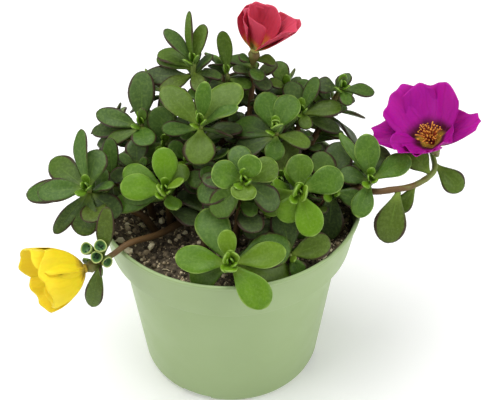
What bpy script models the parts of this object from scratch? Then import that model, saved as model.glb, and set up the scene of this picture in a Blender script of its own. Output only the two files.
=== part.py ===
"""A flowering portulaca in a pale green nursery pot, in metres, Z up, standing on z = 0.

The pot's axis is the Z axis. Each leafy stem is one solid that stands in its own hole in the soil;
the three flowers sit on the ends of three of the stems. Sizes in the tables are in millimetres and
become metres through MM.
"""

import math

import bmesh
import bpy
import numpy as np
from mathutils import Matrix, Vector
from mathutils.bvhtree import BVHTree

MM = 0.001

# Pot
POT_HEIGHT = 95.0
RIM_RADIUS = 60.0
COLLAR_HEIGHT = 21.0
COLLAR_LOW_RADIUS = 56.0
BODY_TOP_RADIUS = 51.0
BASE_RADIUS = 43.0
BASE_ROUND = 4.0
WALL = 1.6
FLOOR = 4.6
LIP_DROP = 2.4
POT_SIDES = 32
CHANNEL_WIDTH = 15.0
CHANNEL_DEPTH = 2.6
CHANNEL_START = 18.0
CHANNEL_TURNS = (-114.0, -24.0, 66.0, 156.0)
DRAIN_RADIUS = 4.0
DRAIN_AT = 29.0

# Soil
SOIL_TOP = 85.0
GAP = 0.3
SOIL_SIDES = 26
SOIL_RINGS = 4
SOIL_SWELL = 1.1
ROOT_DEPTH = 12.0
PERLITE = (
    (-49.0, -19.0, 2.1),
    (-45.0, -26.0, 1.8),
    (-35.0, -24.0, 2.2),
    (-31.0, -8.0, 2.0),
    (-27.0, -46.0, 2.2),
    (-12.0, -51.0, 1.6),
    (24.0, -46.0, 1.8),
    (41.0, -32.0, 1.7),
    (44.0, 22.0, 2.0),
    (-38.0, 34.0, 2.2),
    (8.0, 50.0, 1.9),
)

# Leaves and stems
LEAF_THICK = 2.2
LEAF_WIDEST = 0.64
LEAF_NECK = 0.15
LEAF_SET = 0.6
LEAF_STATIONS = (0.0, 0.34, 0.66, 0.91)
SMALL_STATIONS = (0.0, 0.42, 0.82)
SMALL_LEAF = 9.0
STEM_SIDES = 5
STEM_STEP = 10.0
STEM_FOOT_RADIUS = 1.75
STEM_TIP_RADIUS = 1.15
CROWN_RUN = 9.0
CLEARANCE = 0.45
FLAT_DEGREES = 1.0

# The directions in which a crown of leaves can look
VIEWER = (0.0, -0.76, 0.65)
FRONT = (0.0, -0.6, 0.8)
UPRIGHT = (0.0, -0.35, 0.94)
SKYWARD = (0.0, -0.1, 1.0)

# Each leafy stem: where it leaves the soil (x, y), the middle of its crown (x, y, z), the way the crown
# looks, the length of stem that carries leaves, and its leaves from the oldest to the youngest, each as
# turn about the crown (degrees, 0 to the right, 90 to the back), opening from the crown's axis
# (degrees), length, width, and where it isn't 0 the roll about its own length (degrees).
STEMS = {
    "stem_front": ((-3, -36), (0, -54, 104), FRONT, 6, (
        (20, 100, 27, 15), (115, 88, 27, 15), (205, 105, 21, 13), (-14, 108, 29, 12),
        (172, 82, 23, 12), (14, 80, 23, 11), (-50, 80, 23, 13.5), (98, 55, 14, 8),
        (-95, 45, 8, 6), (50, 40, 7, 5), (150, 35, 7, 5))),
    "stem_right_front": ((14, -30), (29, -30, 121), VIEWER, 6, (
        (-86, 100, 22, 13), (90, 72, 15, 11.5), (20, 80, 19, 12.5), (200, 84, 18, 12),
        (240, 74, 14, 11), (-72, 76, 19, 12.5), (-10, 30, 8, 7), (150, 30, 7, 6))),
    "stem_centre": ((2, -24), (6, -34, 131), FRONT, 6, (
        (190, 98, 21, 13), (-35, 92, 17, 11), (222, 102, 19, 12), (100, 76, 15, 10.5),
        (25, 68, 15, 11), (165, 62, 14, 12), (-95, 50, 10, 11), (62, 38, 12, 10))),
    "stem_top_left": ((-10, 8), (-15, 18, 154), SKYWARD, 8, (
        (178, 88, 22, 9, 30), (215, 84, 17, 9), (-2, 88, 12, 7), (-75, 86, 12, 8),
        (160, 78, 17, 7, 30), (50, 45, 8, 3), (150, 75, 17, 11), (60, 25, 18, 7.5),
        (150, 36, 19, 8), (120, 24, 22, 5, 75))),
    "stem_lone": ((-6, 14), (-0.5, 23.5, 144), SKYWARD, 6, (
        (185, 84, 15, 7.5, 20), (-25, 84, 11, 8), (100, 18, 19, 7))),
    "stem_mid_left": ((-4, 3), (-12, -7, 140), UPRIGHT, 5, (
        (250, 100, 14, 10), (180, 86, 16, 7, 30), (-5, 92, 14, 6, 60), (-90, 86, 17, 14),
        (135, 64, 23, 12.5), (45, 64, 24, 14), (18, 55, 18, 7, 20), (80, 28, 19, 7),
        (150, 20, 7, 3), (60, 15, 7, 3))),
    "stem_red": ((6, 10), (11, 25, 151), SKYWARD, 12, (
        (20, 50, 13, 7), (205, 62, 12, 8), (-60, 86, 12, 8.5), (140, 84, 14, 9),
        (75, 80, 12, 8), (180, 72, 7, 6), (-12, 84, 9.5, 7))),
    "stem_left_front": ((-27, -9), (-27, -25, 119), FRONT, 7, (
        (190, 96, 25, 10), (196, 76, 18, 7, 40), (58, 84, 14, 9), (150, 86, 21, 11),
        (174, 74, 19, 12), (92, 62, 18, 11), (-150, 35, 7, 6), (20, 32, 12, 6, 50))),
    "stem_far_left": ((-34, -14), (-60, -22, 118), (-0.2, -0.5, 0.85), 6, (
        (-40, 98, 16, 11), (262, 88, 19, 13), (230, 86, 23, 7, 20), (140, 84, 24, 12),
        (178, 82, 28, 11), (75, 72, 17, 12), (187, 66, 21, 11), (100, 66, 25, 8, 25))),
    "stem_left": ((-22, 6), (-38, 6, 130), UPRIGHT, 7, (
        (186, 98, 21, 8), (172, 92, 23, 9), (150, 84, 18, 9), (200, 88, 16, 8),
        (162, 78, 21, 9, 20), (88, 52, 24, 12), (-80, 60, 14, 11), (60, 30, 9, 5))),
    "stem_left_small": ((-35, -3), (-40, -10, 118), VIEWER, 4, (
        (-60, 78, 10, 8), (200, 84, 12, 7), (90, 72, 13, 10), (135, 60, 10, 5),
        (45, 58, 9, 4))),
    "stem_left_low": ((-36, 2), (-51, -10, 110), VIEWER, 5, (
        (215, 96, 15, 10), (-60, 92, 14, 9), (92, 78, 20, 8), (180, 80, 14, 8))),
    "stem_left_inner": ((-16, 12), (-28, 4, 121), VIEWER, 5, (
        (20, 92, 14, 10), (200, 94, 14, 10), (84, 84, 28, 10), (98, 66, 17, 12))),
    "stem_inner": ((-10, -14), (-18, -4, 118), FRONT, 4, (
        (-150, 84, 13, 9), (-25, 80, 14, 9), (135, 60, 11, 8), (-60, 34, 6, 5),
        (60, 80, 11, 8))),
    "stem_inner_front": ((-12, -28), (-6, -22, 118), VIEWER, 4, (
        (-100, 88, 13, 10), (160, 88, 13, 9), (120, 58, 10, 8), (20, 80, 11, 9))),
    "stem_upper_right": ((10, 0), (20, -3, 133), UPRIGHT, 6, (
        (195, 96, 19, 14), (150, 98, 22, 15), (-15, 88, 15, 9), (-95, 92, 12, 9),
        (108, 52, 18, 12), (62, 55, 17, 12), (90, 30, 6, 4), (-70, 26, 7, 6))),
    "stem_right_back": ((18, 8), (32, 14, 130), UPRIGHT, 6, (
        (-10, 96, 18, 8), (100, 90, 20, 13), (45, 86, 18, 11), (200, 92, 16, 11),
        (10, 74, 18, 10), (112, 58, 15, 10), (60, 50, 17, 7), (-80, 70, 10, 7))),
    "stem_back_middle": ((4, 18), (26, 26, 134), UPRIGHT, 5, (
        (160, 88, 15, 10), (60, 90, 16, 11), (-100, 86, 12, 9), (110, 60, 14, 9),
        (0, 60, 12, 8), (180, 40, 10, 6))),
    "stem_bud": ((24, 14), (50, 22, 137), (0.25, -0.35, 0.9), 2, (
        (172, 74, 11, 9), (0, 74, 15, 7), (-80, 66, 10, 7), (90, 40, 5, 3))),
    "stem_right_low": ((32, -16), (45, -13, 107), VIEWER, 7, (
        (-86, 92, 22, 13.5), (-30, 98, 18, 10), (80, 92, 22, 14), (110, 84, 18, 12),
        (0, 92, 14, 9))),
    "stem_low_right": ((18, -36), (25, -42, 96), VIEWER, 4, (
        (160, 84, 18, 12), (90, 80, 20, 13), (20, 84, 18, 12), (-60, 76, 14, 10))),
    "stem_right_inner": ((22, -6), (22, -12, 113), VIEWER, 4, (
        (90, 78, 18, 11.5), (200, 86, 12, 9), (-60, 90, 12, 9))),
    "stem_right": ((40, 4), (61, -14, 114), FRONT, 6, (
        (-150, 90, 14, 10), (160, 84, 14, 9), (75, 90, 18, 13), (-35, 96, 15, 8),
        (-112, 76, 18, 9.5), (30, 78, 20, 10), (98, 58, 20, 11), (120, 88, 25, 5))),
    "stem_magenta": ((36, 14), (91, 0, 118), VIEWER, 42, (
        (-104, 88, 24, 14), (-122, 100, 15, 8), (130, 80, 15, 11), (-46, 85, 17, 10.5),
        (160, 80, 14, 9), (100, 70, 12, 8))),
    "stem_yellow": ((-12, -5), (-56.5, -46, 96), (-0.75, -0.6, -0.1), 3, (
        (98, 106, 25, 7.5, -50), (285, 61, 23, 8.5, 45), (0, 75, 6, 5), (180, 72, 6, 5))),
}

# Stems at the back, which the front hides: soil point (x, y), crown (x, y, z), leaf count, first turn
BACK_STEMS = {
    "stem_back_left": ((-26, 18), (-52, 26, 116), 7, 20),
    "stem_back_left_high": ((-16, 24), (-32, 40, 128), 7, 75),
    "stem_back": ((-4, 30), (-4, 54, 118), 7, 140),
    "stem_back_high": ((-2, 20), (-2, 36, 140), 7, 200),
    "stem_back_right": ((14, 28), (26, 50, 120), 7, 260),
    "stem_back_far_right": ((30, 24), (52, 42, 114), 7, 320),
}
BACK_LEAF_LENGTH = 21.0
BACK_LEAF_WIDTH = 11.5
GOLDEN_TURN = 137.5

# Older leaves further down every stem, spaced by the golden angle
OLD_LEAF_STEP = 10.0
OLD_LEAF_LENGTH = 18.0
OLD_LEAF_WIDTH = 11.5
OLD_LEAF_OPENING = 74.0
OLD_LEAF_CLEAR = 10.0
BARE_STEMS = ("stem_magenta", "stem_yellow", "stem_bud")

# Points that a stem passes on its way from the soil to its crown
VIAS = {
    "stem_magenta": ((46, 4, 103), (60, -14, 108), (71, -16, 110), (81, -13, 110), (90, -6, 112)),
    "stem_yellow": ((-20, -12, 90), (-31, -24, 93), (-43, -35, 98)),
    "stem_far_left": ((-40, -16, 98),),
    "stem_bud": ((38, 17, 112),),
}

# Flowers: node, stem that carries it, axis, and its petals as turn, opening, length, width, curl
FLOWERS = {
    "bloom_magenta": ("stem_magenta", (-0.36, -0.2, 0.9), (
        (114, 50, 29, 25, -4), (70, 50, 27.5, 25, -4), (166, 67, 27, 18, 0), (204, 62, 21, 16, 14),
        (243, 60, 18, 18, 24), (308, 58, 19, 16, 20), (13, 84, 23, 15, 6))),
    "bloom_red": ("stem_red", (0.12, -0.05, 0.97), (
        (208, 21, 22, 16, 10), (332, 46, 24, 20, 4), (5, 50, 23, 17, 0), (55, 32, 20, 17, 8),
        (100, 28, 20, 18, 8), (150, 22, 21, 16, 10))),
    "bloom_yellow": ("stem_yellow", (-0.9, -0.42, 0.03), (
        (100, 54, 28, 24, 42), (40, 58, 27, 24, 42), (340, 54, 22, 22, 42), (282, 52, 21, 22, 38),
        (235, 56, 27, 24, 38), (175, 54, 29, 24, 42))),
}
PETAL_THICK = 0.7
PETAL_ALONG = 2
PETAL_ACROSS = 4
PETAL_NOTCH = 0.05
PETAL_ROUND = 0.3
CALYX_HEIGHT = 4.2
CALYX_RADIUS = 2.7
STAMENS = 14
STAMEN_LENGTH = 7.5
STAMEN_RADIUS = 0.42
STAMEN_SPREAD = 42.0
BRUSH_RADIUS = 2.2


# Open seed cups beside the yellow flower: the middle of each mouth (x, y, z) and its radius
SEED_CUPS = (
    ((-60.0, -46.5, 106.2), 3.0),
    ((-53.9, -46.0, 107.0), 3.1),
    ((-55.6, -49.0, 103.2), 2.9),
    ((-51.2, -48.5, 99.6), 2.7),
)
CUP_STALK = (-55.9, -45.0, 101.0)
CUP_DEPTH = 5.0


def unit(vector):
    """The vector at length 1, as numpy."""
    v = np.asarray(vector, float)
    return v / np.linalg.norm(v)


def crown_axes(facing):
    """The crown's axis and two directions across it: the first is as near +X as can be."""
    axis = unit(facing)
    across = unit(np.array((1.0, 0.0, 0.0)) - axis * axis[0])
    return axis, across, np.cross(axis, across)


def leaf_directions(facing, turn, opening, roll=0.0):
    """Along the leaf, across it and out of its upper face."""
    axis, across, back = crown_axes(facing)
    turn, opening, roll = map(math.radians, (turn, opening, roll))
    out = math.cos(turn) * across + math.sin(turn) * back
    along = math.cos(opening) * axis + math.sin(opening) * out
    upper = unit(math.sin(opening) * axis - math.cos(opening) * out)
    side = np.cross(along, upper)
    turned = math.cos(roll) * side + math.sin(roll) * upper
    return along, turned, np.cross(turned, along)


def leaf_half_width(u):
    """Half width over the greatest, at u from 0 at the neck to 1 at the round tip."""
    rise = LEAF_NECK + (1 - LEAF_NECK) * np.sin(np.pi / 2 * np.minimum(u / LEAF_WIDEST, 1)) ** 1.7
    fall = np.sqrt(np.clip(1 - (np.maximum(u - LEAF_WIDEST, 0) / (1 - LEAF_WIDEST)) ** 2, 0, 1))
    return rise * fall


def arc(root, along, upper, length, bend, u):
    """Points of an arc that starts along `along` and turns by `bend` radians towards `upper`."""
    angle = bend * u
    if abs(bend) < 1e-6:
        forward, rise = u * length, 0 * u
    else:
        forward = length * np.sin(angle) / bend
        rise = length * (1 - np.cos(angle)) / bend
    points = root + np.outer(forward, along) + np.outer(rise, upper)
    normals = np.outer(-np.sin(angle), along) + np.outer(np.cos(angle), upper)
    return points, normals


def leaf_mesh(root, directions, length, width, grow=0.0):
    """A fleshy blade, three-sided across: flat above, with a low ridge below and a round tip."""
    along, side, upper = directions
    root = root + LEAF_SET * unit(along - upper * 0.3)
    stations = np.array(SMALL_STATIONS if length <= SMALL_LEAF else LEAF_STATIONS)
    bend = -0.35 if length > SMALL_LEAF else 0.5
    centre, normal = arc(root, along, upper, length + grow, bend, np.append(stations, 1.0))
    half = leaf_half_width(stations) * (width / 2 + grow)
    thick = (LEAF_THICK * (0.72 + 0.28 * np.sin(np.pi * stations)) / 2 + grow)[:, None]
    middle = centre[:-1]
    rings = np.stack((
        middle - half[:, None] * side + thick * normal[:-1],
        middle + half[:, None] * side + thick * normal[:-1],
        middle - thick * normal[:-1],
    ), axis=1)
    return rings_to_mesh(rings, centre[-1])


def rings_to_mesh(rings, tip=None):
    """Points and triangles of a closed body through rings of equal size, ended by a tip or a cap."""
    count, sides = rings.shape[:2]
    points = [tuple(p) for p in rings.reshape(-1, 3)]
    faces = []
    for i in range(count - 1):
        for j in range(sides):
            a, b = i * sides + j, i * sides + (j + 1) % sides
            faces += [(a, b, b + sides), (a, b + sides, a + sides)]
    faces += [(0, j + 1, j) for j in range(1, sides - 1)]
    last = (count - 1) * sides
    if tip is None:
        faces += [(last, last + j, last + j + 1) for j in range(1, sides - 1)]
    else:
        points.append(tuple(tip))
        faces += [(last + j, last + (j + 1) % sides, len(points) - 1) for j in range(sides)]
    return points, faces


def smooth_path(points, count):
    """`count` points, evenly spread, on the Catmull-Rom curve through the given points."""
    p = np.array([2 * np.array(points[0]) - points[1], *points, 2 * np.array(points[-1]) - points[-2]])
    t = np.linspace(0, 1, 12, endpoint=False)[:, None]
    spans = [
        0.5 * (2 * b + (c - a) * t + (2 * a - 5 * b + 4 * c - d) * t**2 + (3 * b - a - 3 * c + d) * t**3)
        for a, b, c, d in zip(p, p[1:], p[2:], p[3:])
    ]
    fine = np.vstack((*spans, p[-2:-1]))
    run = np.append(0, np.cumsum(np.linalg.norm(np.diff(fine, axis=0), axis=1)))
    at = np.linspace(0, run[-1], count)
    return np.stack([np.interp(at, run, fine[:, k]) for k in range(3)], axis=1)


def path_length(points):
    """The length of the line through the points."""
    return float(np.linalg.norm(np.diff(np.array(points, float), axis=0), axis=1).sum())


def tube_mesh(path, radii, sides, tip=None):
    """A tube along a path, its rings carried along without twist."""
    tangents = np.gradient(path, axis=0)
    tangents /= np.linalg.norm(tangents, axis=1)[:, None]
    across = unit(np.cross(tangents[0], (0.31, 0.95, 0.05)))
    turns = np.linspace(0, 2 * np.pi, sides, endpoint=False)
    rings = []
    for centre, tangent, radius in zip(path, tangents, radii):
        across = unit(across - tangent * (across @ tangent))
        other = np.cross(tangent, across)
        rings.append(centre + radius * (np.outer(np.cos(turns), across) + np.outer(np.sin(turns), other)))
    return rings_to_mesh(np.array(rings), tip)


def stem_path(name, foot, crown, facing, step):
    """Points along the stem: up out of its hole, then on a smooth curve to the crown."""
    x, y = foot
    surface = np.array((x, y, soil_height(x, y) + 0.8))
    crown = np.array(crown, float)
    before = crown - CROWN_RUN * unit(facing)
    vias = VIAS.get(name) or (tuple(0.5 * (surface + before) + (0, 0, 3)),)
    points = [surface, *vias, before, crown]
    count = 2 + int(path_length(points) / step)
    return np.vstack(((x, y, SOIL_TOP - ROOT_DEPTH + 1), smooth_path(points, count)))


def shell_object(name, points, faces, colour, roughness=0.5):
    """A mesh object in metres with a material of its own."""
    mesh = bpy.data.meshes.new(name)
    mesh.from_pydata([tuple(c * MM for c in p) for p in points], [], faces)
    mesh.update()
    obj = bpy.data.objects.new(name, mesh)
    bpy.context.scene.collection.objects.link(obj)
    material = bpy.data.materials.new(name)
    material.use_nodes = True
    shader = material.node_tree.nodes["Principled BSDF"]
    shader.inputs["Base Color"].default_value = (*colour, 1.0)
    shader.inputs["Roughness"].default_value = roughness
    shader.inputs["Metallic"].default_value = 0.0
    mesh.materials.append(material)
    return obj


def fused_object(name, meshes, colour, roughness=0.5):
    """The first mesh with the others joined to it by one union."""
    base = shell_object(name, *meshes[0], colour, roughness)
    group = bpy.data.collections.new(name + "_parts")
    bpy.context.scene.collection.children.link(group)
    for number, mesh in enumerate(meshes[1:]):
        part = shell_object(f"{name}_{number}", *mesh, colour)
        bpy.context.scene.collection.objects.unlink(part)
        group.objects.link(part)
    union = base.modifiers.new("union", "BOOLEAN")
    union.operation = "UNION"
    union.solver = "MANIFOLD"
    union.operand_type = "COLLECTION"
    union.collection = group
    apply_modifiers(base)
    for part in list(group.objects):
        bpy.data.objects.remove(part)
    bpy.data.collections.remove(group)
    simplify(base)
    return base


def simplify(obj):
    """Takes out the corners that a union leaves on flat faces and straight edges."""
    bm = bmesh.new()
    bm.from_mesh(obj.data)
    bmesh.ops.dissolve_limit(
        bm, angle_limit=math.radians(FLAT_DEGREES), verts=bm.verts, edges=bm.edges
    )
    bmesh.ops.triangulate(bm, faces=bm.faces)
    bm.to_mesh(obj.data)
    bm.free()


def apply_modifiers(obj):
    """Replaces the object's mesh by what its modifiers make of it."""
    graph = bpy.context.evaluated_depsgraph_get()
    made = bpy.data.meshes.new_from_object(obj.evaluated_get(graph))
    obj.modifiers.clear()
    obj.data = made


def keep_largest(obj):
    """Drops loose scraps that a union can leave beside the main body."""
    bm = bmesh.new()
    bm.from_mesh(obj.data)
    unseen, bodies = set(bm.verts), []
    while unseen:
        stack, body = [unseen.pop()], []
        while stack:
            vert = stack.pop()
            body.append(vert)
            for edge in vert.link_edges:
                other = edge.other_vert(vert)
                if other in unseen:
                    unseen.discard(other)
                    stack.append(other)
        bodies.append(body)
    bodies.sort(key=len)
    for body in bodies[:-1]:
        bmesh.ops.delete(bm, geom=body, context="VERTS")
    bm.to_mesh(obj.data)
    bm.free()


def tree_of(points, faces):
    """A search tree of the triangles, for finding what crosses what."""
    return BVHTree.FromPolygons([Vector(p) for p in points], faces)


def inner_radius(z):
    """The pot's inner wall at height z."""
    step = POT_HEIGHT - COLLAR_HEIGHT
    if z >= step + WALL:
        share = (z - step) / COLLAR_HEIGHT
        return COLLAR_LOW_RADIUS + (RIM_RADIUS - COLLAR_LOW_RADIUS) * share - WALL
    share = z / step
    return BASE_RADIUS + (BODY_TOP_RADIUS - BASE_RADIUS) * share - WALL


def pot_profile():
    """Half of the pot's section, from the axis inside, over the rim and down the outside."""
    step = POT_HEIGHT - COLLAR_HEIGHT
    corner = [
        (
            BASE_RADIUS - BASE_ROUND + BASE_ROUND * math.cos(a),
            BASE_ROUND - BASE_ROUND * math.sin(a),
        )
        for a in np.linspace(0, math.pi / 2, 3)
    ]
    return [
        (0.0, FLOOR),
        (BASE_RADIUS - 5.0, FLOOR),
        (inner_radius(8.0), 7.8),
        (inner_radius(step - 1), step + 0.4),
        (inner_radius(step + 3), step + 2.2),
        (RIM_RADIUS - 1.8, POT_HEIGHT - 0.4),
        (RIM_RADIUS - 1.0, POT_HEIGHT),
        (RIM_RADIUS - 0.2, POT_HEIGHT - 0.5),
        (RIM_RADIUS, POT_HEIGHT - LIP_DROP),
        (RIM_RADIUS - 0.8, POT_HEIGHT - LIP_DROP - 0.7),
        (COLLAR_LOW_RADIUS + 0.1, step + 1.2),
        (COLLAR_LOW_RADIUS - 0.6, step),
        (BODY_TOP_RADIUS + 0.9, step - 0.6),
        (BODY_TOP_RADIUS, step - 1.8),
        *corner,
        (0.0, 0.0),
    ]


def turned_object(name, profile, sides, colour, roughness):
    """A solid turned about Z from a profile that starts and ends on the axis."""
    edges = [(i, i + 1) for i in range(len(profile) - 1)]
    obj = shell_object(name, [(r, 0.0, z) for r, z in profile], [], colour, roughness)
    obj.data.clear_geometry()
    obj.data.from_pydata([(r * MM, 0.0, z * MM) for r, z in profile], edges, [])
    screw = obj.modifiers.new("turn", "SCREW")
    screw.axis = "Z"
    screw.steps = screw.render_steps = sides
    screw.use_merge_vertices = True
    screw.merge_threshold = 0.00002
    screw.use_smooth_shade = True
    apply_modifiers(obj)
    return obj


def cylinder_mesh(x, y, low, high, radius, sides):
    """An upright prism with `sides` sides."""
    turns = np.linspace(0, 2 * np.pi, sides, endpoint=False)
    ring = np.stack((x + radius * np.cos(turns), y + radius * np.sin(turns), 0 * turns), axis=1)
    return rings_to_mesh(np.stack((ring + (0, 0, low), ring + (0, 0, high))))


def cut(obj, meshes):
    """Takes the given bodies, which stay apart from each other, out of the object."""
    cutter = fused_object(obj.name + "_cutter", meshes, (1, 1, 1))
    cutter.hide_render = True
    cutter.display_type = "WIRE"
    hole = obj.modifiers.new("holes", "BOOLEAN")
    hole.operation = "DIFFERENCE"
    hole.solver = "EXACT"
    hole.object = cutter
    apply_modifiers(obj)
    bpy.data.objects.remove(cutter)


def make_pot():
    """The plastic pot: a turned shell with a collar, and drains in shallow channels under its base."""
    pot = turned_object("pot", pot_profile(), POT_SIDES, (0.36, 0.47, 0.28), 0.45)
    cutters = []
    for turn in CHANNEL_TURNS:
        a = math.radians(turn - 90)
        out, side = np.array((math.cos(a), math.sin(a), 0)), np.array((-math.sin(a), math.cos(a), 0))
        corners = [(CHANNEL_START, -1), (BASE_RADIUS + 6, -1), (BASE_RADIUS + 6, 1), (CHANNEL_START, 1)]
        ring = np.array([r * out + s * side * CHANNEL_WIDTH / 2 for r, s in corners])
        cutters.append(rings_to_mesh(np.stack((ring - (0, 0, 3.0), ring + (0, 0, CHANNEL_DEPTH)))))
        x, y = (DRAIN_AT * out)[:2]
        cutters.append(cylinder_mesh(x, y, -4.0, 8.0, DRAIN_RADIUS, 8))
    cut(pot, cutters)
    return pot


def soil_height(x, y):
    """The soil's uneven top: three crossing waves, lower towards the wall."""
    waves = np.sin(0.21 * x + 0.4) * np.cos(0.17 * y) + 0.6 * np.sin(0.11 * x - 0.29 * y + 1.2)
    edge = (np.hypot(x, y) / RIM_RADIUS) ** 4
    return SOIL_TOP + SOIL_SWELL * waves - 2.0 * edge


def make_soil(feet):
    """The root ball: it fills the pot below an uneven top, with a plain hole for each stem."""
    step = POT_HEIGHT - COLLAR_HEIGHT
    turns = np.linspace(0, 2 * np.pi, SOIL_SIDES, endpoint=False)
    circle = np.stack((np.cos(turns), np.sin(turns)), axis=1)
    levels = [
        (BASE_RADIUS - 6.0, FLOOR + GAP),
        (inner_radius(8.0) - GAP, 8.6),
        (inner_radius(step - 1) - GAP - 0.1, step + 0.4),
        (inner_radius(step + 3) - GAP, step + 2.8),
    ]
    rings = [np.column_stack((circle * r, np.full(SOIL_SIDES, z))) for r, z in levels]
    top = inner_radius(SOIL_TOP - 3) - GAP
    for k in range(SOIL_RINGS):
        xy = circle * top * (1 - k / SOIL_RINGS)
        rings.append(np.column_stack((xy, soil_height(*xy.T))))
    centre = (0.0, 0.0, float(soil_height(0.0, 0.0)))
    bodies = [rings_to_mesh(np.array(rings), centre)]
    for x, y, size in PERLITE:
        bodies.append(pebble_mesh((x, y, soil_height(x, y) + 0.25 * size), size))
    soil = fused_object("soil", bodies, (0.045, 0.032, 0.024), 0.95)
    holes = [
        cylinder_mesh(x, y, SOIL_TOP - ROOT_DEPTH, SOIL_TOP + 5, STEM_FOOT_RADIUS + 2.5 * GAP, 5)
        for x, y in feet
    ]
    cut(soil, holes)
    keep_largest(soil)
    return soil


def pebble_mesh(centre, size):
    """A grain of perlite: a squashed octahedron with its corners pushed in and out."""
    rings = []
    for level, share in ((-0.5, 0.7), (0.1, 1.0)):
        turns = np.arange(5) * 2 * np.pi / 5 + level
        uneven = 1 + 0.16 * np.sin(3 * turns + centre[0])
        rings.append(np.column_stack((
            centre[0] + size * share * uneven * np.cos(turns),
            centre[1] + size * share * uneven * np.sin(turns),
            np.full(5, centre[2] + level * size),
        )))
    return rings_to_mesh(np.array(rings), (centre[0], centre[1], centre[2] + 0.8 * size))


def petal_mesh(root, directions, length, width, curl):
    """A broad thin blade with a shallow notch in its waved outer edge, curling by `curl` degrees."""
    along, side, upper = directions
    rows = np.linspace(0.0, 1.0, PETAL_ALONG + 1)
    cols = np.linspace(-1.0, 1.0, PETAL_ACROSS + 1)
    both = []
    for face in (1, -1):
        for u in rows:
            for v in cols:
                reach = 1 - PETAL_NOTCH * math.exp(-((v / 0.3) ** 2)) - PETAL_ROUND * v**2
                centre, normal = arc(root, along, upper, length, math.radians(curl), np.array([u * reach]))
                half = 0.5 * width * (0.2 + 0.8 * math.sin(math.pi / 2 * u**0.8))
                ruffle = 0.05 * width * math.sin(5 * v + turn_of(along)) * u**2
                lift = 0.16 * width * v**2 * u + ruffle + face * PETAL_THICK / 2
                both.append(tuple(centre[0] + side * half * v + normal[0] * lift))
    return both, plate_faces(len(rows), len(cols))


def turn_of(along):
    """A number that differs from petal to petal, for the phase of its waves."""
    return 7.0 * along[0] + 5.0 * along[1] + 3.0 * along[2]


def plate_faces(rows, cols):
    """Triangles of a closed plate whose top grid is followed by its bottom grid."""
    under = rows * cols
    faces = []
    for i in range(rows - 1):
        for j in range(cols - 1):
            a, b, c, d = i * cols + j, i * cols + j + 1, (i + 1) * cols + j + 1, (i + 1) * cols + j
            faces += [(a, b, c), (a, c, d)]
            faces += [(a + under, c + under, b + under), (a + under, d + under, c + under)]
    rim = [j for j in range(cols)]
    rim += [i * cols + cols - 1 for i in range(1, rows)]
    rim += [(rows - 1) * cols + j for j in range(cols - 2, -1, -1)]
    rim += [i * cols for i in range(rows - 2, 0, -1)]
    for a, b in zip(rim, rim[1:] + rim[:1]):
        faces += [(a, a + under, b + under), (a, b + under, b)]
    return faces


def calyx_mesh(base, axis):
    """The green cup under a flower: a short tube that widens from the stem to the petals."""
    path = np.array([base - axis * 3.0, base, base + axis * CALYX_HEIGHT * 0.6, base + axis * CALYX_HEIGHT])
    return tube_mesh(path, (STEM_TIP_RADIUS * 0.8, CALYX_RADIUS * 0.7, CALYX_RADIUS, CALYX_RADIUS * 0.75), 8)


def cup_meshes(stem):
    """A stalk up from the stem's tip and the open cups that spring from its end."""
    tip, fork = np.array(STEMS[stem][1], float), np.array(CUP_STALK)
    meshes = [tube_mesh(np.array([tip - (0, 0, 0.5), fork, fork + (0, 0, 1.5)]), (1.3, 1.3, 1.2), 5)]
    for mouth, radius in SEED_CUPS:
        mouth = np.array(mouth)
        axis = unit(mouth - fork + CUP_DEPTH * unit(VIEWER))
        low = mouth - axis * CUP_DEPTH
        path = np.array([fork, low, mouth - axis * 2.4, mouth, mouth - axis * 0.2])
        radii = (0.9, radius * 0.55, radius * 0.95, radius, radius * 0.74)
        meshes.append(ringed(path, radii, axis, 7, mouth - axis * 2.6))
    return meshes


def ringed(path, radii, axis, sides, tip):
    """Level rings about one axis, the last closed by a tip, for a cup with a hollow in its mouth."""
    _, across, other = crown_axes(axis)
    turns = np.linspace(0, 2 * np.pi, sides, endpoint=False)
    circle = np.outer(np.cos(turns), across) + np.outer(np.sin(turns), other)
    rings = np.array([centre + radius * circle for centre, radius in zip(path, radii)])
    return rings_to_mesh(rings, tip)


def flower_base(stem):
    """Where the flower's calyx starts: the tip of the stem."""
    return np.array(STEMS[stem][1], float)


def make_flower(name, stem, axis, petals, colour):
    """The petals round a small plug that joins them at the calyx."""
    axis = unit(axis)
    seat = flower_base(stem) + axis * (CALYX_HEIGHT + GAP)
    plug = tube_mesh(np.array([seat, seat + axis * 1.2, seat + axis * 2.4]), (1.9, 2.1, 1.3), 8)
    meshes = [plug]
    for turn, opening, length, width, curl in petals:
        directions = leaf_directions(axis, turn, opening)
        out = unit(directions[0] - axis * (directions[0] @ axis))
        root = seat + axis * 1.3 + out * 0.6
        meshes.append(petal_mesh(root, directions, length, width, curl))
    bloom = fused_object(name, meshes, colour, 0.6)
    keep_largest(bloom)
    return bloom


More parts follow.
